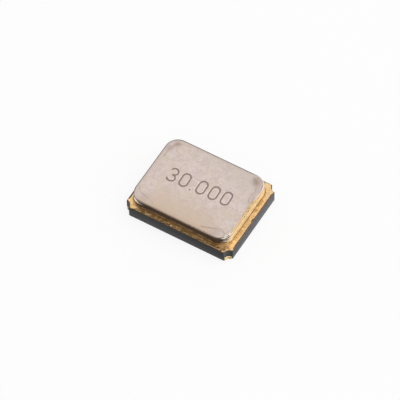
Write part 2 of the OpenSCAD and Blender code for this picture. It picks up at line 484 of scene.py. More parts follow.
@dataclass(frozen=True)
class WeldedGold(Finish):
    """Gold plate on the seal ring's wall, with painted shade that darkens the long sides towards
    the top and the front corners, painted light that makes the +X side paler, and a near-white melt
    that is partly a painted highlight.
    """

    bright: Colour = swatch(247, 224, 182)
    deep: Colour = swatch(232, 202, 152)
    # painted light: the paler, creamier gold of the +X side of the wall
    pale: Colour = swatch(253, 235, 192)
    pale_deep: Colour = swatch(249, 221, 172)
    # painted shade: brown, then dark brown, on the long sides of the wall towards the top and at
    # the front corners
    painted_shade: Colour = swatch(76, 60, 47)
    brown: Colour = swatch(142, 114, 80)
    # near-white melt colour: partly the weld's silvery melt, partly a painted highlight
    silver: Colour = swatch(246, 243, 238)
    mottle_scale: float = 7.0
    fine_scale: float = 40.0
    drawn_down: float = 0.6
    roughness: float = 0.4
    pale_roughness: float = 0.15
    melt_gloss: float = 0.3
    grain: float = 0.0014

    def shade(self, graph: Graph) -> bpy.types.NodeSocket:
        """Adds the finish's nodes.

        Args:
            graph: The material's nodes.

        Returns:
            The shader's socket.
        """
        mottle = graph.speckle(self.mottle_scale, 4.0)
        fine = graph.speckle(self.fine_scale, 3.0, (1, 1, self.drawn_down), 5.0)
        tone = mottle.rise(0.35, 0.65)
        pale, melt = graph.layer("pale"), graph.layer("melt")
        # painted shade mask from the mesh's layer, broken up by noise
        shade_ramp = (graph.layer("painted_shade") + (mottle - 0.5) * 0.5 + (fine - 0.5) * 0.3).clamp()
        colour = graph.coats(
            self.deep,
            (tone, self.bright),
            # painted light on the +X side
            (pale, graph.mix(tone, self.pale_deep, self.pale)),
            # painted shade: brown where it is light, dark brown where it is strong
            (shade_ramp.rise(0.1, 0.55), self.brown),
            (shade_ramp.rise(0.45, 0.9), self.painted_shade),
            # melt's silver, partly a painted highlight
            (melt, self.silver),
        )
        rough = self.roughness + (fine - 0.5) * 0.15 + shade_ramp * 0.1
        rough = rough - melt * self.melt_gloss + pale * self.pale_roughness
        return graph.surface(colour, rough, graph.relief((fine, self.grain)))


@dataclass(frozen=True)
class BlackAlumina(Finish):
    """Dark co-fired ceramic, matt, with pale and dark grains, and painted light that makes its ±X
    faces paler.
    """

    body: Colour = swatch(46, 46, 48)
    dark: Colour = swatch(36, 36, 38)
    pale: Colour = swatch(70, 70, 74)
    side_lit: Colour = swatch(96, 96, 99)
    smear: Colour = swatch(152, 132, 114)
    smear_end: tuple[float, float] = (1.42, 1.5)
    roughness: float = 0.47
    specular: float = 0.27
    grain_depth: float = 0.0016
    pit_depth: float = 0.0008

    def shade(self, graph: Graph) -> bpy.types.NodeSocket:
        """Adds the finish's nodes.

        Args:
            graph: The material's nodes.

        Returns:
            The shader's socket.
        """
        cloud = graph.speckle(4.0, 3.0)
        grain = graph.speckle(70.0, 3.0, shift=2.0)
        pits = graph.speckle(150.0, 2.0, shift=9.0)
        smeared = 0.35 + graph.along("X").rise(*self.smear_end) * 0.5
        colour = graph.coats(
            self.dark,
            (cloud.rise(0.35, 0.65), self.body),
            # painted light: the ±X faces are paler, as if more lit
            (graph.layer("painted_side_light") * (0.6 + cloud * 0.6), self.side_lit),
            (graph.layer("smear") * grain.rise(0.25, 0.55) * smeared, self.smear),
            (grain.rise(0.56, 0.72) * 0.5, self.pale),
            (grain.rise(0.42, 0.3) * 0.6, self.dark),
        )
        rough = self.roughness + (grain - 0.5) * 0.25
        normal = graph.relief((grain, self.grain_depth), (pits, self.pit_depth))
        return graph.surface(colour, rough, normal, 0.0, {"Specular IOR Level": self.specular})


@dataclass(frozen=True)
class MattMetal(Finish):
    """Sintered tungsten or silver-filled adhesive: a grainy metal with no polish."""

    body: Colour = swatch(150, 150, 154)
    dark: Colour = swatch(112, 112, 116)
    roughness: float = 0.55
    scale: float = 60.0
    metallic: float = 1.0
    grain: float = 0.003

    def shade(self, graph: Graph) -> bpy.types.NodeSocket:
        """Adds the finish's nodes.

        Args:
            graph: The material's nodes.

        Returns:
            The shader's socket.
        """
        grain = graph.speckle(self.scale, 3.0)
        flakes = graph.speckle(self.scale * 2.5, 2.0, shift=4.0)
        colour = graph.mix(grain.rise(0.35, 0.65), self.dark, self.body)
        rough = self.roughness + (flakes - 0.5) * 0.3
        normal = graph.relief((grain * 0.6 + flakes * 0.4, self.grain))
        return graph.surface(colour, rough, normal, self.metallic)


@dataclass(frozen=True)
class LappedQuartz(Finish):
    """Clear quartz with a finely lapped face."""

    body: Colour = swatch(236, 242, 245)
    haze: Colour = swatch(214, 224, 230)
    roughness: float = 0.12
    lap_depth: float = 0.0004
    clearness: float = 0.9
    refraction: float = 1.54

    def shade(self, graph: Graph) -> bpy.types.NodeSocket:
        """Adds the finish's nodes.

        Args:
            graph: The material's nodes.

        Returns:
            The shader's socket.
        """
        lap = graph.speckle(120.0, 2.0)
        cloud = graph.speckle(3.0, 2.0, shift=6.0)
        colour = graph.mix(cloud, self.haze, self.body)
        rough = self.roughness + lap * 0.12
        clear = {"IOR": self.refraction, "Transmission Weight": self.clearness}
        return graph.surface(colour, rough, graph.relief((lap, self.lap_depth)), 0.0, clear)


class Slot(Enum):
    """The record's material slots, one given for each new piece."""

    CERAMIC = "black_ceramic"
    GOLD = "gold_plate"
    BRAZE = "braze_gold"
    NICKEL = "lid_nickel"


# ---- Outlines and meshes ----


def wobble(
    points: np.ndarray, scale: "float | tuple[float, float, float]", seed: float = 0.0
) -> np.ndarray:
    """Smooth noise between about -1 and 1 at each point.

    Args:
        points: Rows of x, y or x, y, z, in millimetres.
        scale: Waves per millimetre, the same along each axis or one for each.
        seed: Moves the noise, so that two uses differ.

    Returns:
        One number for each point.
    """
    full = np.zeros((len(points), 3))
    full[:, : points.shape[1]] = points * scale
    return np.array([noise.noise(Vector(p) + Vector((seed, -seed, seed * 0.7))) for p in full])


class Mark(Protocol):
    """Something that has a strength or a height at each point."""

    def at(self, points: np.ndarray) -> np.ndarray:
        """The strength or height at each point."""
        ...


def total(marks: Sequence[Mark], points: np.ndarray) -> np.ndarray:
    """Sum of several marks at each point."""
    return sum(mark.at(points) for mark in marks)


@dataclass(frozen=True)
class Waves:
    """Uneven waves of smooth noise, whose height is in millimetres or a share of something.

    The lean moves them down by a share of their height.
    """

    height: float
    scale: "float | tuple[float, float, float]"
    seed: float
    lean: float = 0.0

    def at(self, points: np.ndarray) -> np.ndarray:
        """The height at each point."""
        return self.height * (wobble(points, self.scale, self.seed) - self.lean)


def raised(plan: np.ndarray, height: np.ndarray) -> np.ndarray:
    """Rows of x, y and z from rows of x and y and a height for each."""
    return np.column_stack([plan, height])


def smooth(values: "np.ndarray | float", low: float, high: float) -> np.ndarray:
    """Smooth step, from 0 at low to 1 at high."""
    t = np.clip((values - low) / (high - low), 0.0, 1.0)
    return t * t * (3 - 2 * t)


def bell(values: "np.ndarray | float", reach: float) -> np.ndarray:
    """Bell curve: 1 at 0, and about a third at the reach."""
    return np.exp(-((values / reach) ** 2))


def long_side(outward: np.ndarray) -> np.ndarray:
    """How far each direction is that of a long side of the package, from 0 to 1."""
    return np.abs(outward[:, 1]) ** 2


def heights(node: str) -> tuple[float, float]:
    """The lowest and the highest z of a CAD node, in millimetres."""
    low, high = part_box(node)
    return low.z / MM, high.z / MM


def nearest(points: np.ndarray, lines: Sequence[np.ndarray]) -> np.ndarray:
    """Distance from each point to the nearest of some lines.

    Args:
        points: Rows of x and y.
        lines: The lines, each as rows of x and y.

    Returns:
        One distance for each point.
    """
    found = np.full(len(points), np.inf)
    for line in lines:
        for a, b in zip(line[:-1], line[1:]):
            run = b - a
            share = np.clip(((points - a) @ run) / max(run @ run, 1e-12), 0, 1)
            found = np.minimum(found, np.linalg.norm(points - a - share[:, None] * run, axis=1))
    return found


def eased(course: Sequence[Sequence[float]], steps: int = 6) -> np.ndarray:
    """A smooth line through a few points.

    Args:
        course: The points.
        steps: Pieces between one point and the next.

    Returns:
        Rows of x and y.
    """
    p = np.array(course, float)
    p = np.vstack([2 * p[0] - p[1], p, 2 * p[-1] - p[-2]])
    made = []
    for k in range(1, len(p) - 2):
        for t in np.arange(steps) / steps:
            bend = 2 * p[k - 1] - 5 * p[k] + 4 * p[k + 1] - p[k + 2]
            turn = -p[k - 1] + 3 * p[k] - 3 * p[k + 1] + p[k + 2]
            made.append(p[k] + 0.5 * (t * (p[k + 1] - p[k - 1]) + t * t * bend + t**3 * turn))
    return np.array([*made, p[-2]])


def staggered(low: np.ndarray, high: np.ndarray, step: float) -> np.ndarray:
    """Points of a grid whose every other row is moved by half a step.

    Args:
        low: The lowest x and y.
        high: The x and y that the grid stops at.
        step: How far apart the points lie.

    Returns:
        Rows of x and y.
    """
    xs, ys = (np.arange(start, stop, step) for start, stop in zip(low, high))
    return np.array([(x + (k % 2) * step / 2, y) for k, y in enumerate(ys) for x in xs])


@dataclass(frozen=True)
class Loop:
    """A closed outline, counter-clockwise from above, with its outward directions."""

    points: np.ndarray
    outward: np.ndarray

    @classmethod
    def through(cls, corners: np.ndarray, count: int) -> "Loop":
        """Samples a closed line at even steps.

        Args:
            corners: The line's points in order.
            count: How many points to take.

        Returns:
            The outline.
        """
        closed = np.vstack([corners, corners[:1]])
        along = np.concatenate([[0], np.cumsum(np.linalg.norm(np.diff(closed, axis=0), axis=1))])
        want = np.linspace(0, along[-1], count, endpoint=False)
        points = np.column_stack([np.interp(want, along, closed[:, k]) for k in (0, 1)])
        run = np.roll(points, -1, axis=0) - np.roll(points, 1, axis=0)
        outward = np.column_stack([run[:, 1], -run[:, 0]])
        return cls(points, outward / np.linalg.norm(outward, axis=1, keepdims=True))

    def grown(self, by: "np.ndarray | float") -> np.ndarray:
        """Points moved outwards, all by one distance or each by its own."""
        return self.points + self.outward * np.reshape(by, (-1, 1))

    def seen_from(self, other: "Loop") -> np.ndarray:
        """Points of this outline in the same directions from the origin as another's points.

        Args:
            other: The other outline.

        Returns:
            One point of this outline for each point of the other.
        """
        angle = np.unwrap(np.arctan2(self.points[:, 1], self.points[:, 0]))
        reach = np.hypot(self.points[:, 0], self.points[:, 1])
        turn = 2 * math.pi
        angles = np.concatenate([angle - turn, angle, angle + turn])
        want = np.arctan2(other.points[:, 1], other.points[:, 0])
        found = np.interp(want, angles, np.tile(reach, 3))
        return np.column_stack([np.cos(want) * found, np.sin(want) * found])


@dataclass(frozen=True)
class RoundedBox:
    """A rectangle with round corners, in plan."""

    centre: tuple[float, float]
    length: float
    width: float
    radius: float

    @classmethod
    def around(cls, node: str, radius: float) -> "RoundedBox":
        """The plan of a CAD node.

        Args:
            node: The node's name.
            radius: Radius of its corners.

        Returns:
            The plan.
        """
        low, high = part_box(node)
        middle = (low + high) / 2 / MM
        size = (high - low) / MM
        return cls((middle.x, middle.y), size.x, size.y, radius)

    @property
    def core(self) -> np.ndarray:
        """Half the sizes of the rectangle that the corners' centres make."""
        return np.array([self.length / 2 - self.radius, self.width / 2 - self.radius])

    def loop(self, count: int, arc_steps: int = 24) -> Loop:
        """Samples the outline.

        Args:
            count: How many points to take.
            arc_steps: Steps of each corner's arc before the points are taken.

        Returns:
            The outline, which starts at the middle of the +X side.
        """
        corners = [np.array([self.length / 2, 0.0])]
        for quarter, signs in enumerate(((1, 1), (-1, 1), (-1, -1), (1, -1))):
            for step in range(arc_steps + 1):
                a = math.pi / 2 * (quarter + step / arc_steps)
                turned = np.array([self.radius * math.cos(a), self.radius * math.sin(a)])
                corners.append(signs * self.core + turned)
        return Loop.through(np.array(corners) + self.centre, count)

    def depth(self, points: np.ndarray) -> np.ndarray:
        """How far inside the outline each point lies.

        Args:
            points: Rows of x and y.

        Returns:
            One distance for each point, less than 0 outside.
        """
        q = np.abs(points - self.centre) - self.core
        outside = np.linalg.norm(np.maximum(q, 0), axis=1)
        return self.radius - outside - np.minimum(q.max(axis=1), 0)

    def facing(self, points: np.ndarray) -> np.ndarray:
        """Direction from the outline's spine to each point.

        Args:
            points: Rows of x and y.

        Returns:
            Unit vectors.
        """
        q = points - self.centre
        out = np.sign(q) * np.maximum(np.abs(q) - self.core, 0)
        inside = np.abs(out).sum(axis=1) < 1e-9
        share = q[inside] / self.core
        out[inside] = share * (np.abs(share) >= np.abs(share).max(1)[:, None])
        return out / np.maximum(np.linalg.norm(out, axis=1, keepdims=True), 1e-9)


class Shell:
    """Gathers rings of points, faces between them, and number layers, and makes the mesh."""

    def __init__(self) -> None:
        """Starts with nothing."""
        self.points: list[np.ndarray] = []
        self.faces: list[Sequence[int]] = []
        self.layers: dict[str, list[np.ndarray]] = {}
        self.count = 0

    def add(
        self, plan: np.ndarray, height: "np.ndarray | float", **layers: "np.ndarray | float"
    ) -> np.ndarray:
        """Adds points.

        Args:
            plan: Rows of x and y.
            height: One z for all, or one each.
            layers: Values of the mesh's number layers, one for all or one each.

        Returns:
            The points' numbers.
        """
        size = len(plan)
        z = np.broadcast_to(np.asarray(height, float), (size,))
        self.points.append(raised(plan, z))
        for name, value in layers.items():
            store = self.layers.setdefault(name, [np.zeros(self.count)] if self.count else [])
            store.append(np.broadcast_to(np.asarray(value, float), (size,)))
        made = np.arange(self.count, self.count + size)
        self.count += size
        return made

    def bridge(self, first: np.ndarray, second: np.ndarray) -> None:
        """Joins two rings with quads that face outwards if the second is lower or further out."""
        after, beyond = np.roll(first, -1), np.roll(second, -1)
        self.faces.extend(np.column_stack([first, second, beyond, after]).tolist())

    def close(self, rings: Sequence[np.ndarray]) -> None:
        """Joins rings one after another, and the last one to the first."""
        for first, second in zip(rings, [*rings[1:], rings[0]]):
            self.bridge(first, second)

    def mesh(self, name: str, edges: Sequence[Sequence[int]] = ()) -> bpy.types.Mesh:
        """Makes the mesh with its number layers, in metres.

        Args:
            name: The mesh's name.
            edges: Its loose edges, as pairs of points' numbers.

        Returns:
            The mesh.
        """
        mesh = bpy.data.meshes.new(name)
        points = np.vstack(self.points) * MM
        mesh.from_pydata(points.tolist(), edges, self.faces)
        for layer, parts in self.layers.items():
            values = np.concatenate(parts).astype(np.float32)
            mesh.attributes.new(layer, "FLOAT", "POINT").data.foreach_set("value", values)
        return mesh

    def make(self, name: str, finish: Finish) -> bpy.types.Object:
        """Makes the mesh and its object, at the origin."""
        return finished(name, self.mesh(name), finish, 50.0)


def placed(name: str, data: bpy.types.ID) -> bpy.types.Object:
    """Puts an object in the scene.

    Args:
        name: Its name.
        data: Its mesh, lamp or camera.

    Returns:
        The object, at the origin.
    """
    made = bpy.data.objects.new(name, data)
    bpy.context.scene.collection.objects.link(made)
    return made


def finished(name: str, mesh: bpy.types.Mesh, finish: Finish, sharp: float) -> bpy.types.Object:
    """Puts a mesh in the scene, shaded smooth between its sharp edges.

    Args:
        name: Name of the piece.
        mesh: Its mesh, in metres.
        finish: Its finish.
        sharp: Angle in degrees past which an edge is sharp.

    Returns:
        The object.
    """
    mesh.update()
    mesh.validate()
    mesh.shade_smooth()
    mesh.set_sharp_from_angle(angle=math.radians(sharp))
    mesh.materials.clear()
    mesh.materials.append(finish.material())
    return placed(name, mesh)


class Growth:
    """A Geometry Nodes tree that is run once on a mesh and gives a plain mesh."""

    def __init__(self, name: str, numbers: dict[str, float]) -> None:
        """Makes the tree with its named inputs.

        Args:
            name: Name of the tree.
            numbers: Its inputs and their values.
        """
        self.numbers = numbers
        self.tree = bpy.data.node_groups.new(name, "GeometryNodeTree")
        sockets = self.tree.interface
        for way in ("OUTPUT", "INPUT"):
            sockets.new_socket("Geometry", in_out=way, socket_type="NodeSocketGeometry")
        for label, value in numbers.items():
            kind = "NodeSocketInt" if isinstance(value, int) else "NodeSocketFloat"
            sockets.new_socket(label, in_out="INPUT", socket_type=kind).default_value = value
        self.graph = Graph(self.tree)
        self.given = self.graph.add("NodeGroupInput").outputs

    def step(
        self, kind: str, settings: dict[str, Any] | None = None, **sockets: Any
    ) -> bpy.types.NodeSocket:
        """Adds a node.

        Args:
            kind: The node's type.
            settings: The node's own properties.
            sockets: Values or links of its inputs, by name.

        Returns:
            The node's first output.
        """
        return self.graph.add(kind, settings, sockets).outputs[0]

    def math(self, operation: str, first: Any, second: Any) -> bpy.types.NodeSocket:
        """Adds a Math node on two numbers."""
        return self.graph.math(operation, first, second).socket

    def field(self, layer: str) -> bpy.types.NodeSocket:
        """The mesh's own number layer of that name."""
        return self.step("GeometryNodeInputNamedAttribute", Name=layer)

    def chance(
        self, low: Sequence[float], high: Sequence[float], shift: int = 0
    ) -> bpy.types.NodeSocket:
        """A random vector for each instance.

        Args:
            low: The lowest that each part of it may be.
            high: The highest that each part may be.
            shift: Moves the seed, so that two draws differ.

        Returns:
            The vector's socket.
        """
        seed = self.math("ADD", self.given["Seed"], shift)
        kind = {"data_type": "FLOAT_VECTOR"}
        node = self.graph.add("FunctionNodeRandomValue", kind, {0: low, 1: high, "Seed": seed})
        return node.outputs[0]

    def scaled(self, vector: Any, by: Any) -> bpy.types.NodeSocket:
        """A vector times a number."""
        sockets = {0: vector, "Scale": by}
        return self.graph.add("ShaderNodeVectorMath", {"operation": "SCALE"}, sockets).outputs[0]

    def balls(self, points: Any, turn: Any, scale: Any, finish: Finish) -> None:
        """Puts a ball on each point, and makes the balls real.

        Args:
            points: The points.
            turn: How each ball is turned.
            scale: How much each ball is stretched along its axes.
            finish: Their finish.
        """
        ball = self.step("GeometryNodeMeshIcoSphere", Subdivisions=2)
        many = self.step(
            "GeometryNodeInstanceOnPoints", Points=points, Instance=ball, Rotation=turn, Scale=scale
        )
        real = self.step("GeometryNodeRealizeInstances", Geometry=many)
        dressed = self.step("GeometryNodeSetMaterial", Geometry=real, Material=finish.material())
        self.graph.add("NodeGroupOutput", sockets={0: dressed})

    def grow(self, name: str, source: bpy.types.Mesh, finish: Finish) -> bpy.types.Object:
        """Runs the tree on a mesh.

        Args:
            name: Name of the piece.
            source: The mesh that it grows on.
            finish: The piece's finish.

        Returns:
            The piece, as a plain mesh without modifiers.
        """
        holder = placed(f"{name}_source", source)
        modifier = holder.modifiers.new("growth", "NODES")
        modifier.node_group = self.tree
        for item in self.tree.interface.items_tree:
            if item.in_out == "INPUT" and item.name in self.numbers:
                modifier[item.identifier] = self.numbers[item.name]
        graph = bpy.context.evaluated_depsgraph_get()
        mesh = bpy.data.meshes.new_from_object(
            holder.evaluated_get(graph), preserve_all_data_layers=True, depsgraph=graph
        )
        bpy.data.objects.remove(holder)
        bpy.data.meshes.remove(source)
        return finished(name, mesh, finish, 80.0)


def paint(piece: bpy.types.Object, layer: str, level: Callable[[Vector], float]) -> None:
    """Gives a piece's faces a number layer.

    Args:
        piece: The piece.
        layer: Name of the layer.
        level: The layer's value for a face's normal.
    """
    values = [level(face.normal) for face in piece.data.polygons]
    piece.data.attributes.new(layer, "FLOAT", "FACE").data.foreach_set("value", values)


def seat(piece: bpy.types.Object, slot: Slot, *nodes: str) -> None:
    """Rides a piece on the package, hiding the CAD nodes that it stands for.

    Args:
        piece: The piece.
        slot: The record's slot for the piece; not used.
        nodes: The CAD nodes that it stands for.
    """
    if nodes:
        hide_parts(*nodes)
    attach(piece, "root")
    LOG.info("%s: %d faces", piece.name, len(piece.data.polygons))


# ---- Marks of the seam weld, with painted shade and painted highlights ----


@dataclass(frozen=True)
class Spot:
    """A round spot near the lid's edge whose strength falls off with distance. Spots place painted
    shade at the corners, the roll where the melt built up, stains and the gold's spread.
    """

    x: float
    y: float
    reach: float
    strength: float = 1.0
    level: float = 0.6
    tall: float = 0.015

    def at(self, points: np.ndarray) -> np.ndarray:
        """The spot's strength at each point."""
        away = np.hypot(points[:, 0] - self.x, points[:, 1] - self.y)
        return self.strength * bell(away, self.reach)


@dataclass(frozen=True)
class Zone:
    """A part of the lid with soft borders.

    Each border is given as the way across it in x and y, and how far along that way it starts
    and ends.
    """

    strength: float
    borders: tuple[tuple[float, float, float, float], ...]

    def at(self, points: np.ndarray) -> np.ndarray:
        """The zone's strength at each point."""
        ramps = [smooth(points @ (x, y), low, high) for x, y, low, high in self.borders]
        return self.strength * np.prod(ramps, axis=0)


@dataclass(frozen=True)
class RollerLine:
    """A wandering line that the weld roller pressed into the lid near its edge."""

    course: tuple[tuple[float, float], ...]
    width: float = 0.016
    strength: float = 1.0
    near: float = 0.15
    waver: tuple[Waves, Waves] = (Waves(0.02, 8.0, 3.0), Waves(0.02, 8.0, 9.0))
    fade: Waves = Waves(0.9, 5.0, 15.0)

    def at(self, points: np.ndarray) -> np.ndarray:
        """The line's strength at each point.

        Args:
            points: Rows of x and y.

        Returns:
            The strengths, which are 0 away from the line.
        """
        near = nearest(points, [np.array(self.course)]) < self.near
        made = np.zeros(len(points))
        spots = points[near]
        if len(spots):
            moved = spots + np.column_stack([waves.at(spots) for waves in self.waver])
            away = nearest(moved, [eased(self.course)])
            fade = np.clip(0.7 + self.fade.at(spots), 0, 1)
            made[near] = self.strength * fade * bell(away, self.width)
        return made


@dataclass(frozen=True)
class WeldMarks:
    """Marks of the seam weld at the corners of the lid and of the ring below it, with painted shade
    at the front corners and painted highlights on the melt and on one corner's streaks.
    """

    melted: tuple[Spot, ...] = (
        Spot(-1.30, -1.08, 0.13, 1.7, 0.578, 0.03),
        Spot(1.37, -0.955, 0.12, 1.3, 0.522),
        Spot(1.30, 1.00, 0.21, 0.7, 0.66),
    )
    # painted shade: darker spots at the front corners
    shade_spots: tuple[Spot, ...] = (
        Spot(1.29, -1.03, 0.18, 1.0),
        Spot(1.10, -1.10, 0.20, 0.6),
        Spot(-1.28, -1.08, 0.22, 0.8),
    )
    folded: Spot = Spot(1.36, -0.94, 0.17)
    fold_scale: tuple[float, float, float] = (4.5, 4.5, 40.0)
    right_less_shade: float = 0.6

    def melt(self, plan: np.ndarray, height: np.ndarray) -> np.ndarray:
        """The silvery roll of melt that built up at the corners, where its near-white colour is
        also painted as a highlight.

        Args:
            plan: Rows of x and y on the wall.
            height: The height of each point.

        Returns:
            How far the roll stands out, from 0 to 1.
        """
        roll = sum(spot.at(plan) * bell(height - spot.level, spot.tall) for spot in self.melted)
        return np.clip(roll, 0, 1)

    def corner_shade(self, plan: np.ndarray, outward: np.ndarray) -> np.ndarray:
        """Painted shade at the front corners, from 0 to 1.

        Args:
            plan: Rows of x and y.
            outward: The way that each point faces.

        Returns:
            The darkness, less on the +X side.
        """
        dark = np.clip(total(self.shade_spots, plan), 0, 1)
        return dark * (1 - self.right_less_shade * smooth(outward[:, 0], 0.6, 0.97))

    def folds(
        self, plan: np.ndarray, outward: np.ndarray, down: np.ndarray, seed: float
    ) -> tuple[np.ndarray, np.ndarray]:
        """Thin bright streaks, painted as highlights of folds, that run along the edge at one
        corner.

        Args:
            plan: Rows of x and y.
            outward: The way that each point faces.
            down: Distance of each point across the folds.
            seed: Moves the folds.

        Returns:
            How much each point belongs to the folded corner, and how much of a fold it is.
        """
        corner = self.folded.at(plan) * smooth(outward[:, 0], 0.1, 0.7)
        waves = Waves(1.0, self.fold_scale, seed).at(raised(plan, down))
        return corner, smooth(waves, 0.0, 0.25)


WELD = WeldMarks()


# ---- Lid ----


@dataclass
class FrequencyMark:
    """The nominal frequency in plain stroked figures, cut into the lid."""

    text: str = "30.000"
    height: float = 0.46
    figure_width: float = 0.27
    gap: float = 0.093
    stroke: float = 0.046
    ragged: Waves = Waves(0.004, 18.0, 3.0)
    soft_edge: float = 0.009
    depth: float = 0.007
    waist: float = 0.49
    centre: tuple[float, float] = (-0.06, 0.05)
    tilt: float = 1.6
    arc_steps: int = 18

    def _arc(
        self, cx: float, cy: float, rx: float, ry: float, start: float, end: float
    ) -> list[tuple[float, float]]:
        """Points of an arc, from one angle in degrees to another."""
        turn = np.radians(np.linspace(start, end, self.arc_steps))
        return list(zip(cx + rx * np.cos(turn), cy + ry * np.sin(turn)))

    def _figure(self, figure: str, w: float, h: float) -> list[tuple[float, float]]:
        """Centre line of a figure.

        Args:
            figure: The figure, which is 0, 3 or a point.
            w: How wide it is.
            h: How high it is.

        Returns:
            The line's points, from the figure's lower left corner.
        """
        r = w / 2
        if figure == "0":
            top = self._arc(r, h - r, r, r, 0, 180)
            foot = self._arc(r, r, r, r, 180, 360)
            return [*top, *foot, top[0]]
        if figure == "3":
            low, high = h * self.waist / 2, h * (1 - self.waist) / 2
            upper = self._arc(r, h - high, r * 0.92, high, 155, -90)
            return [*upper, *self._arc(r, low, r, low, 90, -155)]
        return [(0.0, 0.0), (0.0, 0.0)]

    def lines(self) -> list[np.ndarray]:
        """Centre lines of the figures on the lid.

        Returns:
            The lines, each as rows of x and y.
        """
        w, h = self.figure_width - self.stroke, self.height - self.stroke
        made, x = [], 0.0
        for figure in self.text:
            made.append(np.array(self._figure(figure, w, h)) + (x, 0.0))
            x += (0.0 if figure == "." else w) + self.stroke + self.gap
        length = x - self.gap - self.stroke
        a = math.radians(self.tilt)
        turn = np.array([[math.cos(a), math.sin(a)], [-math.sin(a), math.cos(a)]])
        return [(line - (length / 2, h / 2)) @ turn + self.centre for line in made]

    def distance(self, points: np.ndarray) -> np.ndarray:
        """Distance from each point to the nearest centre line."""
        return nearest(points, self.lines())

    def cut(self, points: np.ndarray) -> np.ndarray:
        """How deep into the groove each point lies, from 0 to 1."""
        half = self.stroke / 2 + self.ragged.at(points)
        return 1 - smooth(self.distance(points) - half, -self.soft_edge, self.soft_edge)


@dataclass
class LidPlate:
    """The nickel-plated lid, pressed down and rounded along its welded edge."""

    corner: float = 0.362
    edge_round: float = 0.024
    round_steps: int = 6
    wall_steps: int = 8
    wall_waves: Waves = Waves(0.003, (3.0, 3.0, 30.0), 41.0)
    band: float = 0.11
    band_waves: Waves = Waves(0.5, 2.2, 11.0)
    band_fall: float = 0.0036
    ridge: float = 0.003
    ridge_share: float = 0.7
    swell: Waves = Waves(0.0014, 1.6, 21.0, 0.5)
    swell_reach: float = 0.3
    ripple: Waves = Waves(0.0022, 11.0, 31.0)
    ripple_reach: tuple[float, float] = (0.03, 0.12)
    side_roll: float = 0.006
    ring_step: float = 0.0125
    ring_end: float = 0.23
    coarse_start: float = 0.235
    coarse: float = 0.035
    fine: float = 0.0095
    number_reach: float = 0.045
    creep_waves: tuple[Waves, ...] = (Waves(0.016, 4.5, 43.0), Waves(0.010, 15.0, 47.0))
    right_creep: float = 0.034
    front_creep: float = -0.020
    grey_creep: float = 0.03
    left_creep: float = -0.007
    shared_creep: float = -0.018
    corner_shade_creep: float = 0.035
    melt_creep: float = -0.08
    gilded: Zone = Zone(1.0, ((0, -1, -0.52, -0.28),))
    spill: Spot = Spot(1.40, 0.12, 0.36, 0.045)
    warm: tuple[Zone, ...] = (
        Zone(1.0, ((0, -1, 0.1, 1.0), (1, 0, -1.3, -0.7), (-1, 0, -1.2, -0.6))),
        Zone(0.5, ((0, -1, 0.98, 1.1),)),
    )
    cool_and_far_shade: tuple[Zone, ...] = (
        Zone(0.5, ((0.3, 1, 0.45, 1.3),)),
        Zone(0.5, ((1, 0, 1.15, 1.35), (0, 1, 0.0, 0.4))),
    )
    browned: Zone = Zone(0.09, ((0, -1, 0.93, 1.1), (-1, 0, -1.3, -1.0)))
    cool_reach: float = 0.09
    side_reach: tuple[float, float] = (0.026, 0.04)
    creep_blur: float = 0.05
    fold_reach: float = 0.05
    melt_reach: float = 0.012
    stains: tuple[Spot, ...] = (
        Spot(1.13, 0.93, 0.10, 0.7),
        Spot(1.20, 0.84, 0.10, 0.35),
        Spot(-1.24, 0.93, 0.10, 0.55),
        Spot(-1.37, 0.72, 0.10, 0.35),
        Spot(1.02, -0.98, 0.16, 0.25),
        Spot(-1.15, -0.98, 0.14, 0.25),
    )
    lines: tuple[RollerLine, ...] = (
        RollerLine(
            ((0.62, -1.0), (0.78, -0.96), (0.92, -0.91), (1.06, -0.85), (1.15, -0.83), (1.24, -0.9))
        ),
        RollerLine(
            ((-1.42, -0.72), (-1.33, -0.83), (-1.2, -0.89), (-1.05, -0.93), (-0.85, -1.0)),
            width=0.018,
            strength=0.6,
        ),
        RollerLine(
            ((-1.36, 0.42), (-1.35, 0.68), (-1.3, 0.86), (-1.18, 0.97), (-0.9, 1.02)),
            width=0.024,
            strength=0.55,
        ),
        RollerLine(
            ((1.02, 1.0), (1.15, 0.93), (1.24, 0.78), (1.27, 0.6), (1.24, 0.42), (1.29, 0.25)),
            width=0.018,
            strength=0.7,
        ),
        RollerLine(
            ((1.33, 0.72), (1.32, 0.5), (1.36, 0.3), (1.33, 0.08), (1.36, -0.12), (1.33, -0.3)),
            width=0.014,
            strength=0.75,
        ),
        RollerLine(
            ((1.35, -0.3), (1.30, -0.5), (1.34, -0.66), (1.30, -0.84), (1.22, -0.97)),
            width=0.012,
            strength=0.55,
        ),
        RollerLine(
            ((1.39, -0.62), (1.38, -0.78), (1.35, -0.9), (1.26, -1.01)),
            width=0.009,
            strength=1.3,
        ),
        RollerLine(
            ((1.08, 1.055), (1.2, 1.03), (1.31, 0.955), (1.375, 0.82), (1.4, 0.66)),
            width=0.009,
            strength=1.2,
        ),
    )

    def __post_init__(self) -> None:
        """Takes the lid's plan and heights from the CAD."""
        self.plan = RoundedBox.around("lid", self.corner)
        self.foot, self.top = heights("lid")
        self.number = FrequencyMark()

    def _height(self, points: np.ndarray, depth: np.ndarray, cut: np.ndarray) -> np.ndarray:
        """Height of the lid's top.

        Args:
            points: Rows of x and y.
            depth: How far inside the lid's outline each point lies.
            cut: How deep in the number's groove each point lies.

        Returns:
            One height for each point.
        """
        ends = self.band * (1 + self.band_waves.at(points))
        z = self.top - self.band_fall * (1 - smooth(depth, 0.0, ends))
        z += self.ridge * (self.ridge_share * (total(self.lines, points) + 1) - 1)
        z += self.swell.at(points) * smooth(depth, 0.0, self.swell_reach)
        z += self.ripple.at(points) * (1 - smooth(depth, *self.ripple_reach))
        z -= self.number.depth * cut
        return np.minimum(z, self.top)

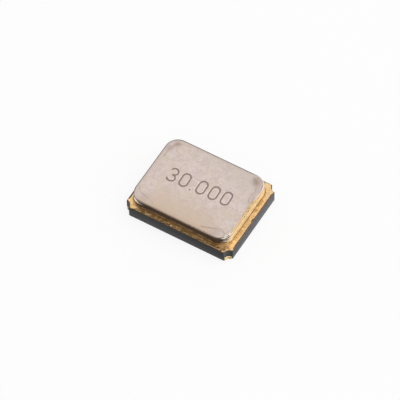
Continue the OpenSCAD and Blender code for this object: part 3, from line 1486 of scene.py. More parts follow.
    def _creep(self, points: np.ndarray, facing: np.ndarray) -> np.ndarray:
        """How far the ring's gold and the painted shade run up over the lid's edge.

        Args:
            points: Rows of x and y.
            facing: The way that each point faces.

        Returns:
            The distance near each point.
        """
        right = smooth(facing[:, 0], 0.6, 0.95) * self.gilded.at(points)
        front = smooth(-facing[:, 1], 0.3, 0.9)
        left = smooth(-facing[:, 0], 0.5, 0.9)
        reach = self.right_creep + total((*self.creep_waves, self.spill), points)
        reach = reach * right + self.shared_creep + self.front_creep * front
        reach += self._bare_side(facing) * (self.grey_creep + self.left_creep * left)
        # the painted shade of the front right corner reaches further onto the lid
        reach += self.corner_shade_creep * WELD.shade_spots[0].at(points)
        return reach + self.melt_creep * WELD.melted[2].at(points)

    @staticmethod
    def _bare_side(facing: np.ndarray) -> np.ndarray:
        """How far each direction is the -X or +Y side, where the edge stayed grey."""
        side = np.clip(smooth(facing[:, 1], 0.1, 0.5) + smooth(-facing[:, 0], 0.3, 0.6), 0, 1)
        return side * (1 - smooth(-facing[:, 1], 0.35, 0.75))

    def _layers(
        self, points: np.ndarray, height: np.ndarray, reach: np.ndarray, cut: np.ndarray
    ) -> dict[str, np.ndarray]:
        """Number layers of points on the lid.

        Args:
            points: Rows of x and y.
            height: Height of each point.
            reach: How far in from the edge's rounding each point lies, less than 0 beyond it.
            cut: How deep in the number's groove each point lies.

        Returns:
            The layers, by name.
        """
        facing = self.plan.facing(points)
        grey = self._bare_side(facing)
        # painted shade: a band along the bare -X and +Y edges, over two cooler zones of the plate
        cool_and_far_shade = total(self.cool_and_far_shade, points) + grey * (1 - smooth(reach, 0.0, self.cool_reach))
        creep = (self._creep(points, facing) - reach) / self.creep_blur
        right = smooth(facing[:, 0], 0.5, 0.9)
        # painted shade on the lid's rim: full on the long sides, a little on the +X side, more at
        # the front corners
        dark = long_side(facing) + WELD.corner_shade(points, facing) + 0.3 * right
        # painted highlights: bright streaks at the front corner
        corner, fold = WELD.folds(points, facing, reach, 17.0)
        # near-white melt at the back right corner of the lid's top, partly a painted highlight
        roll = WELD.melted[2].at(points) * (reach < self.melt_reach)
        return {
            "track": np.clip(total((*self.lines, self.browned), points), 0, 1),
            "stain": np.clip(total(self.stains, points), 0, 1),
            "warm": total(self.warm, points),
            "cool_and_far_shade": np.clip(cool_and_far_shade, 0, 1),
            "grey": grey,
            "side": smooth(-reach, *self.side_reach),
            "rim": np.clip(0.5 + creep, 0, 1),
            "painted_shade": np.clip(dark, 0, 1),
            "fold_highlight": np.clip(1.4 * corner * (reach < self.fold_reach), 0, 0.95) * fold,
            "melt": np.maximum(WELD.melt(points, height), roll),
            "mark": cut,
        }

    def _inside(self, loop: Loop) -> tuple[np.ndarray, list[Sequence[int]]]:
        """Fills the top inside its rounded edge with points and triangles.

        Args:
            loop: The lid's outline.

        Returns:
            All points, those along the edge's rounding first, and the triangles.
        """
        brow = loop.grown(-self.edge_round)
        steps = np.arange(self.edge_round + self.ring_step, self.ring_end, self.ring_step)
        rings = [loop.grown(-d)[k % 2 :: 2] for k, d in enumerate(steps)]
        size = np.array((self.plan.length, self.plan.width))
        low = np.array(self.plan.centre) - size / 2
        grid = staggered(low, low + size, self.coarse)
        grid = grid[self.plan.depth(grid) > self.coarse_start]
        reach = self.number_reach
        grid = grid[self.number.distance(grid) > reach + self.coarse / 2]
        lines = np.vstack(self.number.lines())
        fine = staggered(lines.min(0) - reach, lines.max(0) + reach, self.fine)
        fine = fine[self.number.distance(fine) < reach]
        points = np.vstack([brow, *rings, grid, fine])
        verts, _, faces, *_ = geometry.delaunay_2d_cdt(
            [Vector(p) for p in points], [], [list(range(len(brow)))], 1, 1e-7
        )
        return np.array([v[:] for v in verts]), faces

    def _edge(self, loop: Loop, brow: np.ndarray) -> list[tuple[np.ndarray, ...]]:
        """The rings of the rounding and of the wall below it.

        Args:
            loop: The lid's outline.
            brow: Height of the top where the rounding starts.

        Returns:
            For each ring, its points, the plan that its layers are taken at, its height, and how
            far beyond the rounding's start it lies.
        """
        r = self.edge_round
        rings = []
        for a in math.pi / 2 * np.arange(1, self.round_steps + 1) / self.round_steps:
            plan = loop.grown(-r * (1 - math.sin(a)))
            rings.append((plan, plan, brow - r * (1 - math.cos(a)), np.full(len(plan), r * a)))
        side = brow - r
        for share in np.arange(1, self.wall_steps + 1) / self.wall_steps:
            z = side + (self.foot - side) * share
            waver = self.wall_waves.at(raised(loop.points, z)) * math.sin(math.pi * share)
            plan = loop.grown(waver + self.side_roll * WELD.melt(loop.points, z))
            rings.append((plan, loop.points, z, r * math.pi / 2 + (side - z)))
        return rings

    def build(self, finish: Finish) -> bpy.types.Object:
        """Makes the lid.

        Args:
            finish: The lid's finish.

        Returns:
            The piece.
        """
        shell = Shell()
        loop = self.plan.loop(AROUND)
        inner, faces = self._inside(loop)
        depth = self.plan.depth(inner)
        cut = self.number.cut(inner)
        height = self._height(inner, depth, cut)
        layers = self._layers(inner, height, depth - self.edge_round, cut)
        numbers = shell.add(inner, height, **layers)
        shell.faces.extend([[int(numbers[k]) for k in face] for face in faces])
        last = numbers[:AROUND]
        for plan, ground, z, beyond in self._edge(loop, height[:AROUND]):
            layers = self._layers(ground, z, -beyond, np.zeros(AROUND))
            ring = shell.add(plan, z, **layers)
            shell.bridge(last, ring)
            last = ring
        shell.faces.append(last[::-1].tolist())
        return shell.make("weld_lid", finish)


# ---- Seal ring, braze and metallised frame ----


@dataclass
class SealRing:
    """The gold-plated ring that the lid is welded to."""

    bulge: Waves = Waves(0.004, 7.0, 61.0, 0.6)
    fold: Waves = Waves(0.0022, (2.5, 2.5, 45.0), 63.0)
    ragged: Waves = Waves(0.025, 5.0, 51.0)
    roll: float = 0.012
    steps: int = 24
    brow: float = 0.955
    top_shade_reach: tuple[float, float] = (0.03, 0.15)
    corner_shade_reach: tuple[float, float] = (0.09, 0.16)

    def __post_init__(self) -> None:
        """Takes the ring's plan and heights from the CAD."""
        self.plan = RoundedBox.around("seal_ring", RING_CORNER)
        self.foot, self.top = heights("seal_ring")

    def _section(self) -> list[tuple[float, float]]:
        """The ring's section.

        Returns:
            For each point, how far outside the plan it lies, and its share of the height.
        """
        top = [(-RING_METAL, 1.0), (-0.03, 1.0), (-0.012, 1.0), (-0.004, 0.985)]
        wall = [(0.0, self.brow * (1 - k / self.steps)) for k in range(self.steps + 1)]
        return [*top, *wall, (-RING_METAL, 0.0)]

    def _waves(self, points: np.ndarray, z: np.ndarray, share: float) -> np.ndarray:
        """How uneven the wall is, which is less near its foot.

        Args:
            points: Rows of x and y.
            z: Height of each point.
            share: Their share of the wall's height.

        Returns:
            How far each point stands out.
        """
        spots = raised(points, z)
        bulge = self.bulge.at(spots) * min(1.0, 2.5 * share)
        return bulge + self.fold.at(spots) * min(1.0, 3 * share)

    def build(self, finish: Finish) -> bpy.types.Object:
        """Makes the ring.

        Args:
            finish: The ring's finish.

        Returns:
            The piece.
        """
        shell = Shell()
        loop = self.plan.loop(AROUND)
        points, outward = loop.points, loop.outward
        edge = self.ragged.at(points)
        # painted light: the wall is paler where it faces +X
        pale = smooth(outward[:, 0], 0.3, 0.8)
        rings = []
        for out, share in self._section():
            z = np.full(AROUND, self.foot + (self.top - self.foot) * share)
            roll = WELD.melt(points, z)
            wave = self._waves(points, z, share) + self.roll * roll if out > -0.02 else 0.0
            below = (1 - share) * (self.top - self.foot)
            # painted shade: the wall's long sides darken towards the top, and the front corners
            # darken more
            shade_ramp = 1 - smooth(below + edge, *self.top_shade_reach)
            shade_spots = WELD.corner_shade(points, outward) * (1 - smooth(below, *self.corner_shade_reach))
            painted_shade = np.clip(long_side(outward) * (0.42 + 0.58 * shade_ramp) + shade_spots, 0, 1)
            corner, fold = WELD.folds(points, outward, z, 19.0)
            # near-white melt, partly a painted highlight, and bright streaks painted as highlights
            # at the front corner
            silver = np.clip(roll + 0.9 * fold * corner * (shade_spots > 0), 0, 1)
            plan = loop.grown(out + wave)
            rings.append(shell.add(plan, z, painted_shade=painted_shade, melt=silver, pale=pale))
        shell.close(rings)
        return shell.make("seal_ring_wall", finish)


@dataclass
class WeldBead:
    """The row of small nuggets that the roller's pulses left along the weld."""

    corner: float = 0.366
    level: float = 0.602
    pitch: float = 0.026
    nugget: float = 0.0078
    least: tuple[float, float, float] = (1.9, 0.7, 0.5)
    most: tuple[float, float, float] = (2.9, 1.1, 0.9)
    swell: Waves = Waves(0.3, 3.0, 111.0)
    shade_spots: Spot = Spot(1.42, -0.80, 0.22, 0.75)
    out: float = 0.001
    melt_out: float = 0.006
    right_in: float = 0.008
    seed: int = 5

    def build(self, finish: Finish) -> bpy.types.Object:
        """Makes the bead.

        Args:
            finish: The bead's finish.

        Returns:
            The piece.
        """
        loop = RoundedBox.around("lid", self.corner).loop(AROUND)
        points, outward = loop.points, loop.outward
        z = np.full(AROUND, self.level)
        # melt's roll: it pushes the bead out, and its near-white colour is partly a painted
        # highlight
        bare = WELD.melt(points, z)
        # painted shade on the bead: the long sides, the front corners and a spot near the +X front
        # corner
        dark = long_side(outward) + WELD.corner_shade(points, outward) + self.shade_spots.at(points)
        right = smooth(outward[:, 0], 0.5, 0.9)
        swell = (1 - 0.8 * right) * (0.8 + self.swell.at(points))
        plan = loop.grown(self.out + self.melt_out * bare - self.right_in * right)
        line = Shell()
        spots = line.add(plan, z, painted_shade=np.clip(dark, 0, 1), melt=bare, swell=swell)
        edges = np.column_stack([spots, np.roll(spots, -1)]).tolist()
        numbers = {"Pitch": self.pitch * MM, "Size": self.nugget * MM, "Seed": self.seed}
        row = Growth("bead_growth", numbers)
        curve = row.step("GeometryNodeMeshToCurve", Mesh=row.given["Geometry"])
        spaced = {"mode": "LENGTH"}
        pitch = row.given["Pitch"]
        even = row.step("GeometryNodeResampleCurve", spaced, Curve=curve, Length=pitch)
        run = row.step("GeometryNodeInputTangent")
        turn = row.step("FunctionNodeAlignRotationToVector", {"axis": "X"}, Vector=run)
        size = row.scaled(row.chance(self.least, self.most), row.given["Size"])
        row.balls(even, turn, row.scaled(size, row.field("swell")), finish)
        return row.grow("weld_bead", line.mesh("bead_line", edges), finish)


@dataclass
class BrazeFillet:
    """The braze under the ring, with a hollow fillet round the ring's foot."""

    width: float = 0.038
    rise: float = 0.042
    spread: Waves = Waves(0.22, 4.0, 71.0)
    pinch: Waves = Waves(0.12, 13.0, 73.0)
    under: float = 0.015
    clearance: float = 0.0004
    lap: float = 0.002
    tarnish_and_shade: float = 0.45
    steps: int = 8

    def __post_init__(self) -> None:
        """Takes the ring's plan and the braze's foot from the CAD."""
        self.plan = RoundedBox.around("seal_ring", RING_CORNER)
        self.foot = heights("braze")[0]

    def build(self, finish: Finish) -> bpy.types.Object:
        """Makes the braze.

        Args:
            finish: The braze's finish.

        Returns:
            The piece.
        """
        shell = Shell()
        loop = self.plan.loop(AROUND)
        spread = 0.9 + self.spread.at(loop.points) - np.abs(self.pinch.at(loop.points))
        # painted shade: the braze's long sides are darker
        tarnish_and_shade = long_side(loop.outward) * self.tarnish_and_shade
        rings = []
        for a in math.pi / 2 * np.arange(self.steps, -1, -1) / self.steps:
            plan = loop.grown(self.width * (1 - math.sin(a)) * spread + self.clearance)
            z = self.foot + self.rise * (1 - math.cos(a)) * spread
            rings.append(shell.add(plan, z, tarnish_and_shade=tarnish_and_shade))
        inner, under = loop.grown(-RING_METAL), self.foot + self.under
        for plan, z in ((inner, self.foot), (inner, under), (loop.grown(-self.lap), under)):
            rings.append(shell.add(plan, z, tarnish_and_shade=0.0))
        shell.close(rings)
        return shell.make("braze_fillet", finish)


@dataclass
class SealFrame:
    """The metallised and gold-plated frame that the ring is brazed to."""

    margin: float = 0.045
    notch: float = 0.17
    nick_y: float = 0.02
    nick_width: float = 0.09
    nick_depth: float = 0.03
    nick_slope: float = 0.014
    arc_steps: int = 18
    cavity_corner: float = 0.14
    cavity_wall: tuple[float, float] = (0.41, 0.40)
    edge_round: float = 0.006
    lump: float = 0.009
    lumps: tuple[Waves, ...] = (Waves(1.0, 13.0, 91.0), Waves(0.5, 32.0, 93.0))
    ragged: tuple[Waves, ...] = (Waves(0.004, 6.0, 81.0), Waves(0.0028, 22.0, 83.0))
    spread: tuple[float, float, float] = (0.000, 0.020, 0.034)
    braze_reach: float = 0.02
    burr: float = 0.014
    burr_span: tuple[float, float] = (0.85, 1.3)
    right_end: tuple[float, float] = (1.3, 1.42)
    around: int = 1500
    ledge_shares: tuple[float, ...] = (0.0, 0.12, 0.24, 0.36, 0.48, 0.6, 0.7, 0.8, 0.88, 0.95)
    lighter_spots: tuple[Spot, ...] = (Spot(-1.50, -1.10, 0.15), Spot(1.46, 1.08, 0.16, 0.8))
    nodule: float = 0.0055
    nodule_density: float = 1500.0
    nodule_shares: tuple[float, ...] = (0.1, 0.35, 0.65, 0.97)
    least: tuple[float, float, float] = (0.45, 0.45, 0.25)
    most: tuple[float, float, float] = (1.5, 1.5, 0.6)
    lean: float = 0.3
    seed: int = 11

    def __post_init__(self) -> None:
        """Takes the package's plan and the frame's heights from the CAD."""
        low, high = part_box("ceramic_base")
        size = (high - low) / MM
        self.length, self.width = size.x, size.y
        self.foot, self.top = heights("seal_metallisation")

    def outline(self) -> Loop:
        """The frame's edge, notched at the corners and nicked at the +X side.

        Returns:
            The outline.
        """
        x = self.length / 2 - self.margin
        reach = self.notch + self.margin
        start = math.asin(self.margin / reach)
        turns = np.linspace(start, math.pi / 2 - start, self.arc_steps)
        low, high = self.nick_y - self.nick_width / 2, self.nick_y + self.nick_width / 2
        line = [(x, high + self.nick_slope)]
        for sx, sy, forward in ((1, 1, True), (-1, 1, False), (-1, -1, True), (1, -1, False)):
            centre = np.array([sx * self.length / 2, sy * self.width / 2])
            arc = [centre - (sx * reach * math.sin(t), sy * reach * math.cos(t)) for t in turns]
            line += arc if forward else arc[::-1]
        line += [
            (x, low - self.nick_slope),
            (x - self.nick_depth, low),
            (x - self.nick_depth * 0.8, self.nick_y + self.nick_width * 0.1),
            (x - self.nick_depth * 0.95, high),
        ]
        return Loop.through(np.array(line), self.around)

    def _long_side(self, points: np.ndarray) -> np.ndarray:
        """How close each point is to a long side, from 0 to 1."""
        return smooth(np.abs(points[:, 1]) / (self.width / 2), 0.85, 0.97)

    def _burr(self, points: np.ndarray) -> np.ndarray:
        """The burr that the snapping left on the -Y edge.

        Args:
            points: Rows of x and y.

        Returns:
            Each point's share of the burr's height.
        """
        low, high = self.burr_span
        along = smooth(points[:, 0], low, low + 0.02) * (1 - smooth(points[:, 0], high - 0.1, high))
        return along * (points[:, 1] < 0)

    def _lightened(self, points: np.ndarray) -> np.ndarray:
        """How much the tarnish and painted shade are lessened at two spots, from 0 to 1."""
        return np.clip(total(self.lighter_spots, points), 0, 1)

    def _edges(self) -> tuple[Loop, np.ndarray]:
        """The borders of the ledge.

        Returns:
            The ragged outer edge, and the foot of the braze nearest to each of its points.
        """
        edge = self.outline()
        x, y = np.abs(edge.points).T
        corner = 1 - smooth(np.hypot(self.length / 2 - x, self.width / 2 - y), 0.2, 0.3)
        side = smooth(y / (self.width / 2), 0.9, 0.95)
        narrow, wide, notch = self.spread
        spread = (narrow + (wide - narrow) * side) * (1 - corner) + notch * corner
        edge = Loop(edge.grown(total(self.ragged, edge.points) + spread), edge.outward)
        ring = RoundedBox.around("seal_ring", RING_CORNER).loop(self.around)
        return edge, Loop(ring.grown(self.braze_reach), ring.outward).seen_from(edge)

    def _stained_and_shaded(self, plan: np.ndarray, sides: np.ndarray, share: float) -> dict[str, np.ndarray]:
        """Number layers of a ring of the ledge.

        Args:
            plan: Rows of x and y.
            sides: How far each point belongs to a long side, less at the lighter spots.
            share: How far out the ring lies, from 0 to 1.

        Returns:
            The layers, by name.
        """
        inner = 1 - share
        right = smooth(plan[:, 0], *self.right_end)
        # partly stains, partly painted shade: the ledge darkens towards the braze's foot on the
        # long sides and at the +X end
        tarnish_and_shade = sides * (0.16 + 0.28 * inner) + right * 0.62 * inner**1.3
        tarnish_and_shade -= self._lightened(plan)
        tarnish_and_shade += self._burr(plan) * (0.9 * bell(share - 0.45, 0.25) - 1.4 * (share > 0.8))
        worn = right * bell(plan[:, 1] + 0.1, 0.55) + 0.15 * right
        return {"tarnish_and_shade": tarnish_and_shade, "rough": 0.1 + 0.9 * sides, "worn": worn}

    def _ledge(self, shell: Shell, shares: Sequence[float]) -> list[np.ndarray]:
        """Adds rings of points from the braze's foot to the outer edge.

        Args:
            shell: The mesh that they go into.
            shares: How far out each ring lies, from 0 to 1.

        Returns:
            The rings' numbers.
        """
        edge, foot = self._edges()
        sides = self._long_side(edge.points) * (1 - self._lightened(edge.points))
        rough = self.lump * (0.2 + 0.8 * sides)
        rings = []
        for share in shares:
            plan = foot * (1 - share) + edge.grown(-self.edge_round) * share
            lumps = rough * (total(self.lumps, plan) - 0.6) * min(1.0, share * 4)
            z = self.top + lumps + self.burr * self._burr(plan) * smooth(share, 0.55, 0.9)
            rings.append(shell.add(plan, z, **self._stained_and_shaded(plan, sides, share)))
        return rings

    def build(self, finish: Finish) -> bpy.types.Object:
        """Makes the frame.

        Args:
            finish: The frame's finish.

        Returns:
            The piece.
        """
        shell = Shell()
        edge, _ = self._edges()
        across, up = self.length - 2 * self.cavity_wall[0], self.width - 2 * self.cavity_wall[1]
        cavity = RoundedBox((0.0, 0.0), across, up, self.cavity_corner)
        inner = cavity.loop(self.around).seen_from(edge)
        sides = self._long_side(edge.points)
        plain = {"tarnish_and_shade": 0.0, "rough": 0.0, "worn": 0.0}
        rings = [shell.add(inner, self.foot, **plain), shell.add(inner, self.top, **plain)]
        rings += self._ledge(shell, self.ledge_shares)
        for turn in np.radians([0.0, 45.0, 90.0]):
            plan = edge.grown(-self.edge_round * (1 - math.sin(turn)))
            burr = self._burr(plan)
            lip = self.burr * burr * (0.9 - 0.4 * math.sin(turn))
            z = self.top - self.edge_round * (1 - math.cos(turn)) + lip
            rings.append(shell.add(plan, z, tarnish_and_shade=sides * 0.1 - burr, rough=0.0, worn=0.3))
        rings.append(shell.add(edge.points, self.foot, tarnish_and_shade=sides * 0.6, rough=0.0, worn=0.0))
        shell.close(rings)
        return shell.make("seal_frame", finish)

    def nodules(self, finish: Finish) -> bpy.types.Object:
        """Scatters plating nodules on the ledge.

        Args:
            finish: Their finish.

        Returns:
            The piece.
        """
        ground = Shell()
        rings = self._ledge(ground, self.nodule_shares)
        for first, second in zip(rings[:-1], rings[1:]):
            ground.bridge(first, second)
        numbers = {
            "Density": self.nodule_density / MM**2,
            "Size": self.nodule * MM,
            "Seed": self.seed,
        }
        rash = Growth("nodule_growth", numbers)
        spots = rash.step(
            "GeometryNodeDistributePointsOnFaces",
            Mesh=rash.given["Geometry"],
            Density=rash.math("MULTIPLY", rash.given["Density"], rash.field("rough")),
            Seed=rash.given["Seed"],
        )
        size = rash.scaled(rash.chance(self.least, self.most), rash.given["Size"])
        turn = rash.chance((-self.lean, -self.lean, 0.0), (self.lean, self.lean, 6.28), 3)
        rash.balls(spots, turn, size, finish)
        return rash.grow("plating_nodules", ground.mesh("nodule_ground"), finish)


# ---- Ceramic and terminals ----


@dataclass
class EasedSolid:
    """A CAD solid whose outer sharp edges are eased, as firing or plating leaves them."""

    name: str
    ease: float
    steps: int = 2
    sharp: float = 35.0
    flat: float = 1.0
    shaded: float = 28.0
    joined: float = 0.0002

    def _whole(self, node: bpy.types.Object) -> bmesh.types.BMesh:
        """A copy of a CAD node's mesh, with its triangles joined and its flat faces made whole.

        Args:
            node: The CAD node's object.

        Returns:
            The copy.
        """
        made = bmesh.new()
        made.from_mesh(node.data)
        bmesh.ops.remove_doubles(made, verts=made.verts, dist=self.joined * MM)
        bmesh.ops.dissolve_limit(
            made, angle_limit=math.radians(self.flat), verts=made.verts, edges=made.edges
        )
        return made

    def _is_sharp(self, edge: bmesh.types.BMEdge) -> bool:
        """Whether an edge is between two faces that meet at a sharp angle."""
        return len(edge.link_faces) == 2 and edge.calc_face_angle(0.0) > math.radians(self.sharp)

    def build(
        self, node: bpy.types.Object, finish: Finish, keep: Callable[[bmesh.types.BMEdge], bool]
    ) -> bpy.types.Object:
        """Makes the eased solid.

        Args:
            node: The CAD node's object.
            finish: Its finish.
            keep: Says which of the sharp edges are eased.

        Returns:
            The piece.
        """
        shape = self._whole(node)
        bmesh.ops.bevel(
            shape,
            geom=[edge for edge in shape.edges if self._is_sharp(edge) and keep(edge)],
            offset=self.ease * MM,
            segments=self.steps,
            profile=0.5,
            affect="EDGES",
            clamp_overlap=True,
        )
        bmesh.ops.recalc_face_normals(shape, faces=shape.faces)
        mesh = bpy.data.meshes.new(self.name)
        shape.to_mesh(mesh)
        shape.free()
        return finished(self.name, mesh, finish, self.shaded)


# ---- Studio ----


def grey(level: float) -> Colour:
    """A neutral colour of that level."""
    return (level, level, level, 1.0)


def toward(azimuth: float, elevation: float, distance: float = 1.0) -> Vector:
    """The way to a place round the object.

    Args:
        azimuth: Its angle in degrees from -Y towards +X.
        elevation: Its angle in degrees above the floor.
        distance: How far away it is.

    Returns:
        The vector from the object to the place.
    """
    a, e = math.radians(azimuth), math.radians(elevation)
    x, y = distance * math.sin(a) * math.cos(e), -distance * math.cos(a) * math.cos(e)
    return Vector((x, y, distance * math.sin(e)))


@dataclass(frozen=True)
class SoftBox:
    """A soft rectangular lamp, aimed at the object from afar."""

    name: str
    azimuth: float
    elevation: float
    distance: float
    size: float
    radiance: float

    def build(self, target: Vector) -> None:
        """Hangs the lamp.

        Args:
            target: Where it aims, in metres.
        """
        lamp = bpy.data.lights.new(self.name, "AREA")
        lamp.shape = "SQUARE"
        lamp.size = self.size
        lamp.energy = self.radiance * math.pi * self.size**2
        back = toward(self.azimuth, self.elevation)
        made = placed(self.name, lamp)
        made.location = target + back * self.distance
        made.rotation_mode = "QUATERNION"
        made.rotation_quaternion = back.to_track_quat("Z", "Y")
        made.visible_camera = False


@dataclass
class Studio:
    """Pale floor, soft light, a dark card in front, and the camera.

    The camera's distance, target, lens and sensor are in millimetres, and the rest is in metres.
    """

    azimuth: float = 31.651
    elevation: float = 55.121
    roll: float = -1.212
    distance: float = 124.59
    target: tuple[float, float, float] = (0.036, -0.095, 0.335)
    lens: float = 430.8
    sensor: float = 36.0
    clip: tuple[float, float] = (0.01, 10.0)
    floor_radius: float = 2.0
    floor_depth: float = 4e-6
    floor_grey: float = 0.82
    floor_seen: float = 0.16
    floor_glow: float = 0.868
    card_distance: float = 0.3
    card_azimuths: tuple[float, float] = (-48.0, 8.0)
    card_elevations: tuple[float, ...] = (4.0, 25.0, 45.0, 66.0)
    card_columns: int = 10
    card_grey: float = 0.04
    world_light: float = 0.62
    lamps: tuple[SoftBox, ...] = (
        SoftBox("key_light", 140.0, 50.0, 0.5, 0.35, 1.2),
        SoftBox("left_light", 300.0, 14.0, 0.5, 0.14, 1.3),
        SoftBox("right_light", 95.0, 35.0, 0.5, 0.3, 0.8),
    )

    @staticmethod
    def _seen(graph: Graph) -> Value:
        """Tells what the eye sees, directly, in a mirror or through glass, from plain light.

        Args:
            graph: The nodes of the floor or the world.

        Returns:
            1 for what the eye sees, and 0 for plain light.
        """
        rays = graph.add("ShaderNodeLightPath").outputs
        camera, mirror, glass = (
            Value(graph, rays[f"Is {kind} Ray"]) for kind in ("Camera", "Glossy", "Transmission")
        )
        return (camera + mirror + glass).clamp()

    @staticmethod
    def _matt(graph: Graph, level: float) -> bpy.types.NodeSocket:
        """Adds a plain grey matt shader."""
        return graph.add("ShaderNodeBsdfDiffuse", sockets={"Color": grey(level)}).outputs[0]

    def _paper(self, graph: Graph) -> bpy.types.NodeSocket:
        """Adds the floor's shader, which is white to the eye and keeps the object's shadow.

        Args:
            graph: The floor's nodes.

        Returns:
            The shader's socket.
        """
        plain, pale = self._matt(graph, self.floor_grey), self._matt(graph, self.floor_seen)
        light = {"Color": grey(1.0), "Strength": self.floor_glow}
        glow = graph.add("ShaderNodeEmission", sockets=light).outputs[0]
        both = graph.add("ShaderNodeAddShader", sockets={0: pale, 1: glow}).outputs[0]
        sockets = {0: self._seen(graph), 1: plain, 2: both}
        return graph.add("ShaderNodeMixShader", sockets=sockets).outputs[0]

    def _floor(self) -> None:
        """Lays the floor under the seating plane."""
        mesh = bpy.data.meshes.new("floor")
        r, z = self.floor_radius, -self.floor_depth
        mesh.from_pydata([(-r, -r, z), (r, -r, z), (r, r, z), (-r, r, z)], [], [(0, 1, 2, 3)])
        mesh.materials.append(surfaced("white_paper", self._paper))
        made = placed("floor", mesh)

    def _card(self) -> None:
        """Stands a dark card in front, which the near edges of the metal mirror."""
        wide = self.card_columns
        azimuths = np.linspace(*self.card_azimuths, wide)
        points = [
            toward(azimuth, elevation, self.card_distance)
            for elevation in self.card_elevations
            for azimuth in azimuths
        ]
        rows = range(len(self.card_elevations) - 1)
        starts = [row * wide + column for row in rows for column in range(wide - 1)]
        faces = [(first, first + 1, first + wide + 1, first + wide) for first in starts]
        mesh = bpy.data.meshes.new("dark_card")
        mesh.from_pydata(points, [], faces)
        felt = surfaced("dark_felt", lambda graph: self._matt(graph, self.card_grey))
        mesh.materials.append(felt)
        made = placed("dark_card", mesh)
        made.visible_camera = False

    def _world(self) -> None:
        """Lights everything softly, and shows white where nothing else is."""
        world = bpy.data.worlds.new("studio")
        world.use_nodes = True
        bpy.context.scene.world = world
        graph = Graph(world.node_tree)
        strength = self.world_light + self._seen(graph) * (1.0 - self.world_light)
        light = {"Color": grey(1.0), "Strength": strength}
        back = graph.add("ShaderNodeBackground", sockets=light).outputs[0]
        graph.add("ShaderNodeOutputWorld", sockets={"Surface": back})

    def _camera(self) -> None:
        """Sets up the camera."""
        a, r = math.radians(self.azimuth), math.radians(self.roll)
        back = toward(self.azimuth, self.elevation)
        level = Vector((math.cos(a), math.sin(a), 0.0))
        rise = back.cross(level)
        right = level * math.cos(r) + rise * math.sin(r)
        up = rise * math.cos(r) - level * math.sin(r)
        data = bpy.data.cameras.new("camera")
        data.lens = self.lens
        data.sensor_width = self.sensor
        data.clip_start, data.clip_end = self.clip
        made = placed("camera", data)
        place = (Vector(self.target) + back * self.distance) * MM
        turn = Matrix((right, up, back)).transposed().to_4x4()
        made.matrix_world = Matrix.Translation(place) @ turn
        bpy.context.scene.camera = made

    def build(self) -> None:
        """Builds the whole studio."""
        bpy.context.scene.view_settings.view_transform = "Standard"
        self._camera()
        self._floor()
        self._card()
        self._world()
        for lamp in self.lamps:
            lamp.build(Vector(self.target) * MM)


# ---- The whole crystal ----


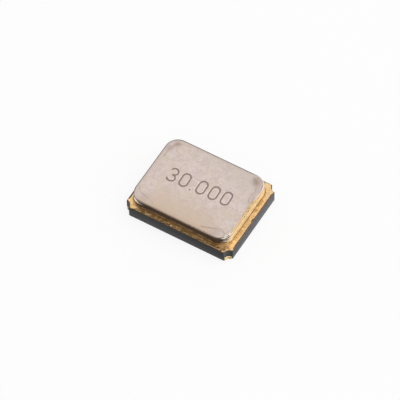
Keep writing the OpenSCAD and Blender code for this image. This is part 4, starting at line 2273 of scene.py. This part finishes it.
@dataclass
class Crystal:
    """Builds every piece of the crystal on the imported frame."""

    nodes: dict[str, bpy.types.Object]
    body_ease: float = 0.007
    plate_ease: float = 0.003
    corner_cut: float = 0.172
    front_shade_level: float = 1.3
    corner_darkening: float = 0.9
    gold: GoldPlate = GoldPlate("plated_gold")
    terminal: GoldPlate = GoldPlate(
        # its tarnish colour is also the painted shade of the faces that face -Y
        "terminal_gold", swatch(246, 222, 168), swatch(232, 204, 148), swatch(98, 80, 50)
    )
    # painted shade: the braze's darker gold stands in for the shade in the crease at the ring's
    # foot
    braze: GoldPlate = GoldPlate(
        "brazed_gold_with_crease_shade", swatch(187, 155, 109), swatch(159, 127, 85), roughness=0.36
    )
    welded: WeldedGold = WeldedGold("welded_gold")
    bead: WeldedGold = WeldedGold("bead_gold", swatch(228, 204, 164), swatch(204, 176, 132))

    def seal(self) -> None:
        """Builds the lid, the ring, the braze and the frame."""
        frame = SealFrame()
        seat(LidPlate().build(NickelLid("satin_nickel")), Slot.NICKEL, "lid")
        seat(SealRing().build(self.welded), Slot.GOLD, "seal_ring")
        seat(WeldBead().build(self.bead), Slot.GOLD)
        seat(BrazeFillet().build(self.braze), Slot.BRAZE, "braze")
        seat(frame.build(self.gold), Slot.GOLD, "seal_metallisation")
        seat(frame.nodules(self.gold), Slot.GOLD)

    def ceramic(self) -> None:
        """Builds the ceramic body with its outer edges eased."""
        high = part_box("ceramic_base")[1]

        def outer(edge: bmesh.types.BMEdge) -> bool:
            """Tells the edges of the package's outside.

            Args:
                edge: An edge.

            Returns:
                Whether both its ends lie on the outside.
            """
            for x, y in ((abs(end.co.x), abs(end.co.y)) for end in edge.verts):
                on_side = min(high.x - x, high.y - y) < 1e-6
                on_corner = math.hypot(high.x - x, high.y - y) < self.corner_cut * MM
                if not (on_side or on_corner) or (x <= high.x * 0.9 and y <= high.y * 0.87):
                    return False
            return True

        finish = BlackAlumina("black_alumina")
        solid = EasedSolid("ceramic_body", self.body_ease)
        body = solid.build(self.nodes["ceramic_base"], finish, outer)
        # painted light on the faces that face ±X
        paint(body, "painted_side_light", lambda normal: normal.x**2)
        paint(body, "smear", lambda normal: max(0.0, normal.z))
        seat(body, Slot.CERAMIC, "ceramic_base")

    def terminals(self) -> None:
        """Builds the four terminals with their plated edges eased."""
        for number in range(1, 5):
            node = f"terminal_{number}"
            solid = EasedSolid(f"plated_{node}", self.plate_ease, steps=1)
            piece = solid.build(self.nodes[node], self.terminal, lambda edge: True)
            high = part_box(node)[1]
            darkening = self.corner_darkening if high.x < 0 and high.y < 0 else 0.0

            def darkened(normal: Vector) -> float:
                """Painted shade on faces that face -Y, and a darker tone on all but the bottom of
                the terminal at the -X -Y corner, by the face's normal.
                """
                front_shade = self.front_shade_level * max(0.0, -normal.y) ** 6
                return front_shade + darkening * (1 - max(0.0, -normal.z))

            paint(piece, "tarnish_and_shade", darkened)
            seat(piece, Slot.GOLD, node)

    def inside(self) -> None:
        """Dresses the sealed inner pieces."""
        tungsten = MattMetal("bare_tungsten")
        silver = MattMetal(
            "silver_paste", swatch(196, 196, 198), swatch(158, 158, 162), 0.45, 45.0, 0.7
        )
        electrode = GoldPlate(
            "evaporated_gold",
            swatch(250, 220, 150),
            swatch(240, 206, 132),
            roughness=0.18,
            grain=0.0004,
        )
        finishes = {
            "signal_lead": tungsten,
            "ground_via": tungsten,
            "mounting_pad": self.gold,
            "pillow": self.gold,
            "adhesive_dot": silver,
            "quartz_blank": LappedQuartz("lapped_quartz"),
            "electrode": electrode,
        }
        for name, node in self.nodes.items():
            for start, finish in finishes.items():
                if name.startswith(start):
                    node.data.materials.clear()
                    node.data.materials.append(finish.material())
                    LOG.info("%s: dressed as %s", name, finish.name)


def main() -> None:
    """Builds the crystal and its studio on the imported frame."""
    logging.basicConfig(level=logging.INFO, format="%(name)s: %(message)s")
    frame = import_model()
    crystal = Crystal(frame["nodes"])
    crystal.seal()
    crystal.ceramic()
    crystal.terminals()
    crystal.inside()
    Studio().build()


if __name__ == "__main__":
    main()
